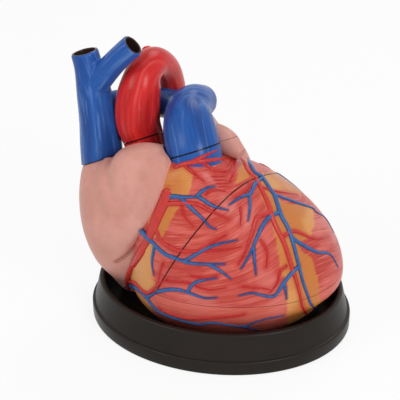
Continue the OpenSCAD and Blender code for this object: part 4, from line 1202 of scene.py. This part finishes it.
# Front: the girth in millimetres, how far the line sinks in its girth, and spots of the picture along the
# line
front_arteries = [
    (6.0, 0.5, [(168, 188), (164, 201), (157, 217), (151, 232), (145, 244), (137, 257), (131, 268),
                (128, 280)]),
    (5.4, 0.5, [(144, 246), (138, 256), (131, 268), (127.5, 278), (127, 285), (129, 290)]),
    (2.6, 0.45, [(127, 282), (135, 283), (147, 293), (160, 283), (168, 279)]),
    (3.6, 0.5, [(238, 158), (243, 160), (249, 172), (256, 179), (260, 187), (268, 203), (274, 222),
                (284, 243), (291, 265),
                (296, 280), (300, 295), (303, 308), (308, 315)]),
    (2.8, 0.5, [(270, 207), (268, 213), (257, 217.6), (252, 232.5), (246, 250), (238, 265)]),
    (2.2, 0.5, [(282, 238), (294, 231), (315, 239), (330, 236)]),
    (1.8, 0.5, [(262, 187), (273.5, 190.6), (297.6, 194.6)]),
    (1.8, 0.5, [(260, 239), (267, 252), (266, 268)]),
    (2.8, 0.5, [(157, 209), (159, 207), (171, 203.6), (195, 203.6), (208, 210), (229, 219)]),
    (2.6, 0.5, [(150, 229), (155.5, 229), (161.5, 241), (177, 250), (195.5, 251), (208, 245), (226, 235)]),
    (2.8, 0.5, [(173, 168), (181, 165), (195, 162), (212, 160), (228, 158), (240, 158)]),
    (2.2, 0.5, [(188, 164), (200, 158), (217, 150)]),
    (2.0, 0.5, [(184, 165), (196, 175), (205, 182)]),
    (1.8, 0.5, [(206, 164), (214, 170), (229, 171), (232, 164)]),
    (1.8, 0.5, [(236, 160), (234, 172), (229, 182)]),
    (2.6, 0.5, [(160, 309), (166, 312), (185, 318), (210, 318), (235, 316), (245, 314)]),
    (1.6, 0.5, [(164, 262), (160, 272), (158, 283)]),
    (1.8, 0.6, [(199, 162), (210.4, 166.8), (213.2, 170.4), (220, 171.4), (226, 173)]),
    (1.5, 0.6, [(232, 158), (230.7, 163.3), (227, 167)]),
    (1.9, 0.6, [(238, 157), (235, 161.2), (234, 169.6), (230, 182)]),
    (1.0, 0.6, [(211, 176.7), (226, 176.7)]), (1.0, 0.6, [(213, 180.2), (228, 180.2)]),
    (1.0, 0.6, [(215, 183.6), (229, 183.6)]), (1.0, 0.6, [(218, 187), (229, 186.6)]),
    (2.0, 0.6, [(204.7, 195.6), (209.6, 191.4), (216.7, 190), (225.8, 191.4)]),
    (2.0, 0.6, [(181.6, 205), (184.4, 215.3), (189.3, 221.6), (193.5, 226.5)]),
    (2.0, 0.6, [(251, 178), (248.2, 187.9), (241.2, 194.9), (234.2, 197.7)]),
    (2.0, 0.6, [(195, 252), (213, 250.4), (227, 249.6), (241, 246.8)]),
    (1.8, 0.6, [(190, 275.8), (204.2, 278), (217.2, 275.8)]),
    (1.8, 0.6, [(166.3, 281.2), (188, 282.3), (196.6, 286.6), (210.7, 289.9), (226, 287.7)]),
    (1.8, 0.6, [(241, 286.6), (258.5, 287.7), (270.4, 289.9)]),
    (2.0, 0.6, [(287.7, 265), (280.2, 271.5), (276.9, 283.4), (269.3, 293.1)]),
    (1.6, 0.5, [(240, 206), (241, 216), (240, 226)])]
front_veins = [
    (2.5, 0.35, [(163, 198), (172, 196.5), (183, 197), (200, 197)]),
    (2.0, 0.35, [(196, 197), (201, 192), (208, 187.5), (215, 186.5)]),
    (2.0, 0.35, [(196, 196), (202, 199), (213, 206), (228, 210)]),
    (2.0, 0.35, [(178.5, 196.5), (184, 201), (192, 209), (203, 219), (210, 227), (216, 229)]),
    (2.6, 0.35, [(141, 230), (144, 232), (155, 245), (165, 254), (175, 258), (190, 263), (205, 264),
                 (225, 264)]),
    (2.3, -0.9, [(142, 229.5), (147, 235), (151, 240.5), (156, 246)]),
    (1.9, 0.35, [(184, 260), (188, 259), (200, 252), (215, 245), (237, 240)]),
    (1.9, 0.35, [(207, 264), (212, 266), (222, 272), (231, 279)]),
    (1.9, 0.35, [(155, 244), (153, 254), (152, 264), (154, 275)]),
    (2.3, 0.35, [(156, 293), (160, 291), (170, 289.5), (180, 290), (192, 294), (205, 298), (217, 297.5)]),
    (1.9, 0.35, [(188, 292), (191, 286), (199, 281), (217, 278)]),
    (2.4, 0.35, [(122, 292), (127, 286), (136, 288), (147, 298), (156, 309), (166, 315), (177, 318.6),
                 (188, 322),
                 (201, 324), (211, 322.7), (223, 324), (233, 325.6), (246, 326), (253, 323), (267, 318.6),
                 (283.5, 315.5)]),
    (1.9, 0.35, [(145, 298), (150, 296), (158, 291)]),
    (1.7, 0.35, [(240, 325.5), (250, 328), (259, 331)]),
    (3.1, 0.35, [(245, 152), (247, 155), (251, 166), (255.7, 173.6), (261.5, 176.5), (270.6, 190), (275, 197),
                 (281, 215),
                 (288, 228), (293, 243), (298, 262), (303, 282), (308, 296), (311, 304), (319, 313)]),
    (2.1, 0.35, [(272, 192), (276, 195), (289.5, 200), (301, 204), (312.5, 208), (316, 212), (325, 217.6),
                 (334, 232.5)]),
    (2.2, 0.35, [(290, 234), (294, 239), (303, 245), (317, 252), (330, 254), (338, 267)]),
    (2.3, 0.35, [(263, 177), (255, 184), (250.5, 193.5), (241, 197), (229, 205)]),
    (1.9, 0.35, [(250, 191), (249.4, 197), (250, 207), (248, 221)]),
    (2.3, 0.35, [(281, 211), (269, 217.6), (262, 227), (255, 242), (249, 255.5), (241, 269)]),
    (1.8, 0.35, [(254, 246), (254, 255), (256, 275)]),
    (2.3, 0.35, [(300, 265), (291, 274), (283, 284), (274.6, 295.7), (264, 295.7), (252, 293), (239, 295.7)]),
    (1.8, 0.35, [(283, 282), (285, 287), (286.7, 299)])]
# Back and sides: the same, with angles round the muscle and heights
back_arteries = [(3.4, 0.5, [(118, 100), (112, 84), (104, 72), (96, 57), (90, 42)]),
                 (2.4, 0.5, [(40, 150), (48, 120), (50, 90), (48, 60)]),
                 (1.8, 0.5, [(49, 112), (62, 96), (70, 78)]),
                 (1.8, 0.5, [(100, 64), (112, 54), (120, 40)]), (1.8, 0.5, [(94, 52), (80, 44), (70, 32)])]
back_veins = [(4.4, 0.4, [(56, 122), (60, 118), (85, 98), (110, 88), (135, 84)]),
              (2.6, 0.35, [(108, 92), (104, 86), (97, 72), (90, 58), (84, 42)]),
              (2.0, 0.35, [(66, 113), (60, 92), (62, 70), (56, 50)]),
              (1.9, 0.35, [(36, 138), (34, 110), (36, 84), (30, 60)]),
              (1.7, 0.35, [(94, 66), (80, 60), (74, 48)]), (1.9, 0.35, [(152, 70), (146, 54), (150, 38)])]


def even_line(rows, step=1.3):
    """A smooth line through rows, at even steps."""
    rows = np.asarray(rows, float)
    fine = along(rows, np.linspace(0, len(rows) - 1, 40 * len(rows)))
    run = np.concatenate([[0], np.cumsum(np.linalg.norm(np.diff(fine[:, :2], axis=0), axis=1))])
    marks = np.linspace(0, run[-1], max(int(run[-1] / step), 4))
    return np.stack([np.interp(marks, run, fine[:, k]) for k in range(fine.shape[1])], 1)


def laid_lines(fronts, backs):
    """The lines that coronary vessels follow: points, and how thick the vessel is at each."""
    lines = []
    for girth, sink, spots in fronts:
        found = [spot_on(vessel_tops, x, y) for x, y in even_line(spots)]
        lines.append((girth, sink, np.array([f[0] for f in found if f[0] is not None]),
                      np.array([f[1] for f in found if f[0] is not None])))
    for girth, sink, rows in backs:
        near = np.array([muscle_spot(degrees, height) for degrees, height in even_line(rows, 1.6)])
        lines.append((girth, sink, near, np.array([muscle_skin.find_nearest(p)[1] for p in near.tolist()])))
    made = []
    for girth, sink, spots, ways in lines:
        for _ in range(2):
            spots[1:-1] = (spots[:-2] + spots[1:-1] * 2 + spots[2:]) / 4
        t = np.linspace(0, 1, len(spots))
        thick = girth * np.minimum(1 - 0.62 * np.clip((t - 0.35) / 0.65, 0, 1), 0.45 + 0.55
                                   * np.clip(t / 0.04, 0, 1))
        made.append((spots - unit(ways) * (thick * sink)[:, None], thick, spots))
    return made


def ridge_tree():
    """Geometry nodes: turns chains of edges, with their girth at every point, into round solid lines."""
    tree = bpy.data.node_groups.new("round_lines", "GeometryNodeTree")
    for name, kind in (("Chains", "NodeSocketGeometry"), ("Sides", "NodeSocketInt"),
                       ("Finish", "NodeSocketMaterial")):
        tree.interface.new_socket(name=name, in_out="INPUT", socket_type=kind)
    tree.interface.new_socket(name="Lines", in_out="OUTPUT", socket_type="NodeSocketGeometry")
    start = tree.nodes.new("NodeGroupInput")
    curve = wire(tree, "GeometryNodeMeshToCurve", {"Mesh": start.outputs["Chains"]})
    girth = wire(tree, "GeometryNodeInputNamedAttribute", {"Name": "girth"}, data_type="FLOAT")
    ring = wire(tree, "GeometryNodeCurvePrimitiveCircle", {"Resolution": start.outputs["Sides"],
                                                           "Radius": 1.0})
    tube = wire(tree, "GeometryNodeCurveToMesh", {"Curve": curve.outputs[0], "Profile Curve": ring.outputs[0],
                                                  "Scale": girth.outputs[0], "Fill Caps": True})
    whole = wire(tree, "GeometryNodeRealizeInstances", {"Geometry": tube.outputs[0]})
    done = wire(tree, "GeometryNodeSetMaterial", {"Geometry": whole.outputs[0],
                                                  "Material": start.outputs["Finish"]})
    wire(tree, "NodeGroupOutput", {0: done.outputs[0]})
    return tree


round_lines = ridge_tree()


def lines_piece(name, lines, sides, finish):
    """A piece made of round lines, each a row of points and of radii in millimetres."""
    mesh = bpy.data.meshes.new(name + "_chains")
    edges, base = [], 0
    for spots, _ in lines:
        edges += [(base + n, base + n + 1) for n in range(len(spots) - 1)]
        base += len(spots)
    mesh.from_pydata((np.vstack([spots for spots, _ in lines]) * MM).tolist(), edges, [])
    chains = bpy.data.objects.new(name + "_chains", mesh)
    bpy.context.scene.collection.objects.link(chains)
    note(chains, "girth", np.concatenate([thick for _, thick in lines]) * MM)
    maker = chains.modifiers.new("round_lines", "NODES")
    maker.node_group = round_lines
    for socket in round_lines.interface.items_tree:
        if socket.in_out == "INPUT" and socket.name in ("Sides", "Finish"):
            maker[socket.identifier] = sides if socket.name == "Sides" else finish
    return carve(name, chains)


def coronary_paint(name, painted_crest_highlight, body, edge, inner):
    """A hand-painted raised line, with a painted highlight along its top and darker where it meets the wall.
    """
    material, tree = new_paint(name)
    place = wire(tree, "ShaderNodeTexCoord").outputs["Object"]
    uneven = wire(tree, "ShaderNodeTexNoise", {"Vector": place, "Scale": 260.0, "Detail": 3.0})
    height = calc(tree, "ADD", noted(tree, "rise"), spread(tree, uneven.outputs[0], 0.3, 0.7, -0.12, 0.12))
    colour = mixed(tree, spread(tree, height, 0.16, 0.42), edge, body)
    # Painted highlight: the top of the raised line is painted lighter.
    colour = mixed(tree, spread(tree, height, 0.62, 1.0, 0.0, 0.75), colour, painted_crest_highlight)
    colour = mixed(tree, spread(tree, uneven.outputs[0], 0.5, 0.3, 0.0, 0.3), colour, inner)
    varnish(tree, colour, uneven.outputs[0], 0.28, 0.1, 0.0003)
    return material


# The first colour of each is the painted highlight along the line's top.
coronary_red = coronary_paint("coronary_artery_paint", linear(200, 66, 60), linear(184, 38, 38),
                              linear(168, 36, 36),
                              linear(160, 28, 30))
coronary_blue = coronary_paint("coronary_vein_paint", linear(66, 104, 158), linear(34, 76, 134),
                               linear(62, 34, 66),
                               linear(26, 52, 104))
artery_lines, vein_lines = laid_lines(front_arteries, back_arteries), laid_lines(front_veins, back_veins)
for kind, lines, finish in (("arteries", artery_lines, coronary_red), ("veins", vein_lines, coronary_blue)):
    for side, body in (("rear", "stand"), ("front", "front_piece")):
        whole = lines_piece(side + "_" + kind, [(spots, thick) for spots, thick, _ in lines], 12, finish)
        if side == "rear":
            piece = carve(side + "_coronary_" + kind + "_body", whole, cut=[
                all_past("wall_cut", wall_faces), stack("right_limit", atrium_rows, -3.5, 100, 60),
                all_past("cap_cut", [(trunk_seat, cap_way)])])
        else:
            piece = carve(side + "_coronary_" + kind + "_body", whole,
                          keep=[all_past("wall_keep", fitted_faces)])
        points = corners(piece)
        nearest = [vessel_tops.find_nearest(p) for p in points.tolist()]
        over = np.einsum("ij,ij->i", points - [n[0] for n in nearest], [n[1] for n in nearest])
        note(piece, "rise", np.copysign([n[3] for n in nearest], over))
        dress(piece, finish, 50)
        stand_for(piece, [side + "_coronary_" + kind], body)
for lines, name in ((artery_lines, "by_artery"), (vein_lines, "by_vein")):
    laid = np.vstack([spots for spots, _, _ in lines])
    chart = KDTree(len(laid))
    for n, spot in enumerate(laid):
        chart.insert(spot, n)
    chart.balance()
    for piece in (ventricles, front_wall):
        note(piece, name, [chart.find(p)[2] for p in corners(piece).tolist()])

# Valves, papillary muscles and heart strings. Cream leaves hang from beaded rings between the chambers and
# stand as pockets in the ways out. Ivory strings hold the hanging leaves to short muscles on the chambers'
# walls.
leaf_drop, leaf_t, bead_r, leaf_bite, leaf_edge, leaf_gap = 13, 1.2, 1.6, 0.6, 0.5, 8
trunk_valve = (np.array([-14, -33, 175.0]), unit(np.array([-0.24, 0.32, 0.9])), 21.6)
aortic_valve = (np.array([-68, -3, 168.0]), unit(np.array([-0.3, 0.04, 0.95])), 16.4)


def on_valve(valve, radius, turn, height):
    """Points by their distance from a valve's axis, the angle round it and the height along it."""
    place, way, _ = valve
    first = np.array([way[2] * way[0], way[2] * way[1], way[2] ** 2 - 1]) / math.hypot(way[0], way[1])
    second = np.array([-way[1], way[0], 0]) / math.hypot(way[0], way[1])
    radius, turn, height = np.broadcast_arrays(radius, turn, height)
    return (place + np.multiply.outer(radius * np.cos(turn), first)
            + np.multiply.outer(radius * np.sin(turn), second) + np.multiply.outer(height, way))


def leaf(name, valve, start, end, section):
    """One leaf, whose section of radii, heights and thicknesses changes with the share of the way round."""
    rings = []
    for s in np.linspace(0, 1, 33):
        radius, height, thick_out, thick_up = section(s)
        turn = start + (end - start) * s
        rings.append(on_valve(valve, np.concatenate([radius, (radius - thick_out)[::-1]]), turn,
                              np.concatenate([height, (height + thick_up)[::-1]])))
    return skin(name, rings)


def hanging_valve(name, valve, leaves):
    """A beaded ring with scalloped leaves that hang from it."""
    r = valve[2]
    run = np.linspace(0, 1, 12)
    round_bead = np.linspace(0, 2 * math.pi, 17)[:-1]
    whole = skin(name + "_bead", [on_valve(valve, r + bead_r * np.cos(round_bead), turn, bead_r
                                           * np.sin(round_bead))
                                  for turn in np.linspace(0, 2 * math.pi, 97)[:-1]], loop=True)

    def section(s):
        drop = leaf_drop * (0.72 + 0.28 * math.sin(math.pi * s) ** 0.8 - 0.04
                            * math.sin(9 * math.pi * s) ** 2)
        radius = (r - leaf_bite) + (r * (leaf_edge - 1) + leaf_bite) * run + 0.5 * np.sin(math.pi * run)
        return radius, drop * run, leaf_t * (1 - 0.35 * run), 0 * run

    for n in range(leaves):
        start = 2 * math.pi * n / leaves + math.radians(leaf_gap / 2)
        piece = leaf(name + "_leaf" + str(n), valve, start, start + 2 * math.pi / leaves
                     - math.radians(leaf_gap), section)
        whole = carve(name + str(n), whole, add=[piece])
    return whole


def pocket_valve(name, valve):
    """Three pockets that meet in the middle of a way out."""
    r = valve[2]
    cusp = np.array([[1, 0], [0.86, -0.1], [0.72, -0.14], [0.56, -0.08], [0.4, 0.05], [0.26, 0.2],
                     [0.14, 0.36]]) * r

    def section(s):
        belly = math.sin(math.pi * s) ** 0.5
        heights = cusp[:, 1] * np.where(cusp[:, 1] < 0, belly, 1)
        return cusp[:, 0], heights, np.linspace(0.3, 1.0, 7), np.linspace(1.5, 0.5, 7)

    gap = math.radians(leaf_gap / 2)
    return gather(name, [leaf(name + str(n), valve, 2 * math.pi * n / 3 + gap, 2 * math.pi * (n + 1) / 3
                              - gap, section)
                         for n in range(3)])


cream = moulded_plastic("valve_cream", linear(222, 200, 172), linear(236, 218, 192), 0.46, 420.0, 0.12)
for piece, node in ((hanging_valve("three_leaves", right_valve, 3), "three_leaf_valve"),
                    (hanging_valve("two_leaves", left_valve, 2), "two_leaf_valve"),
                    (pocket_valve("trunk_pockets", trunk_valve), "pulmonary_valve"),
                    (pocket_valve("aortic_pockets", aortic_valve), "aortic_valve")):
    dress(piece, cream, 40)
    stand_for(piece, [node], "stand")

papilla_paint = moulded_plastic("papilla_paint", linear(172, 66, 56), linear(204, 102, 88), 0.34, 500.0, 0.2)
ivory = moulded_plastic("string_ivory", linear(226, 216, 190), linear(238, 230, 208), 0.42, 900.0, 0.05)
right_papillae = [[[-34, -52, 66], [-44, -38, 84]], [[-30, -22, 68], [-42, -22, 86]]]
left_papillae = [[[42, 58, 112], [24, 42, 122]], [[30, 40, 84], [17, 34, 106]]]
for side, feet, chamber, valve in (("right", right_papillae, right_chamber_path, right_valve),
                                   ("left", left_papillae, left_chamber_path, left_valve)):
    muscles, strings = [], []
    place, way, r = valve
    aside = unit(np.cross(way, (0, 0, 1)))
    above = np.cross(aside, way)
    for j, (foot, tip) in enumerate(feet):
        foot, tip = np.array(foot, float), np.array(tip, float)
        rows = [[*(foot + (tip - foot) * t), thick] for t, thick in
                ((-0.2, 5.0), (0, 7.4), (0.3, 6.2), (0.6, 4.6), (0.85, 3.3), (1, 2.4), (1.06, 1.2))]
        muscles.append(carve(side + "_papilla" + str(j), sweep("papilla_form", rows, sides=40, steps=40),
                             keep=[
            sweep("papilla_limit", chamber, 3.0, sides=48, steps=50)],
                             cut=[all_past("papilla_wall", wall_faces, -part_gap)]))
        for k in (-1, 0, 1):
            turn = math.radians(180 * j + 90 + 50 * k)
            rim = (place + way * (leaf_drop - 1)
                   + (aside * math.cos(turn) + above * math.sin(turn)) * (r * leaf_edge + leaf_bite))
            t = np.linspace(0, 1, 13)[:, None]
            line = tip + (rim - tip) * t - np.array([0, 0, 0.8]) * np.sin(math.pi * t)
            strings.append((line, 0.8 - 0.25 * np.sin(math.pi * t[:, 0])))
    piece = gather(side + "_papillae", muscles)
    dress(piece, papilla_paint, 50)
    stand_for(piece, [side + "_papillary_muscles"], "stand")
    piece = lines_piece(side + "_strings", strings, 12, ivory)
    dress(piece, ivory, 50)
    stand_for(piece, [side + "_heart_strings"], "stand")

for form in (muscle,):
    bpy.data.objects.remove(form)
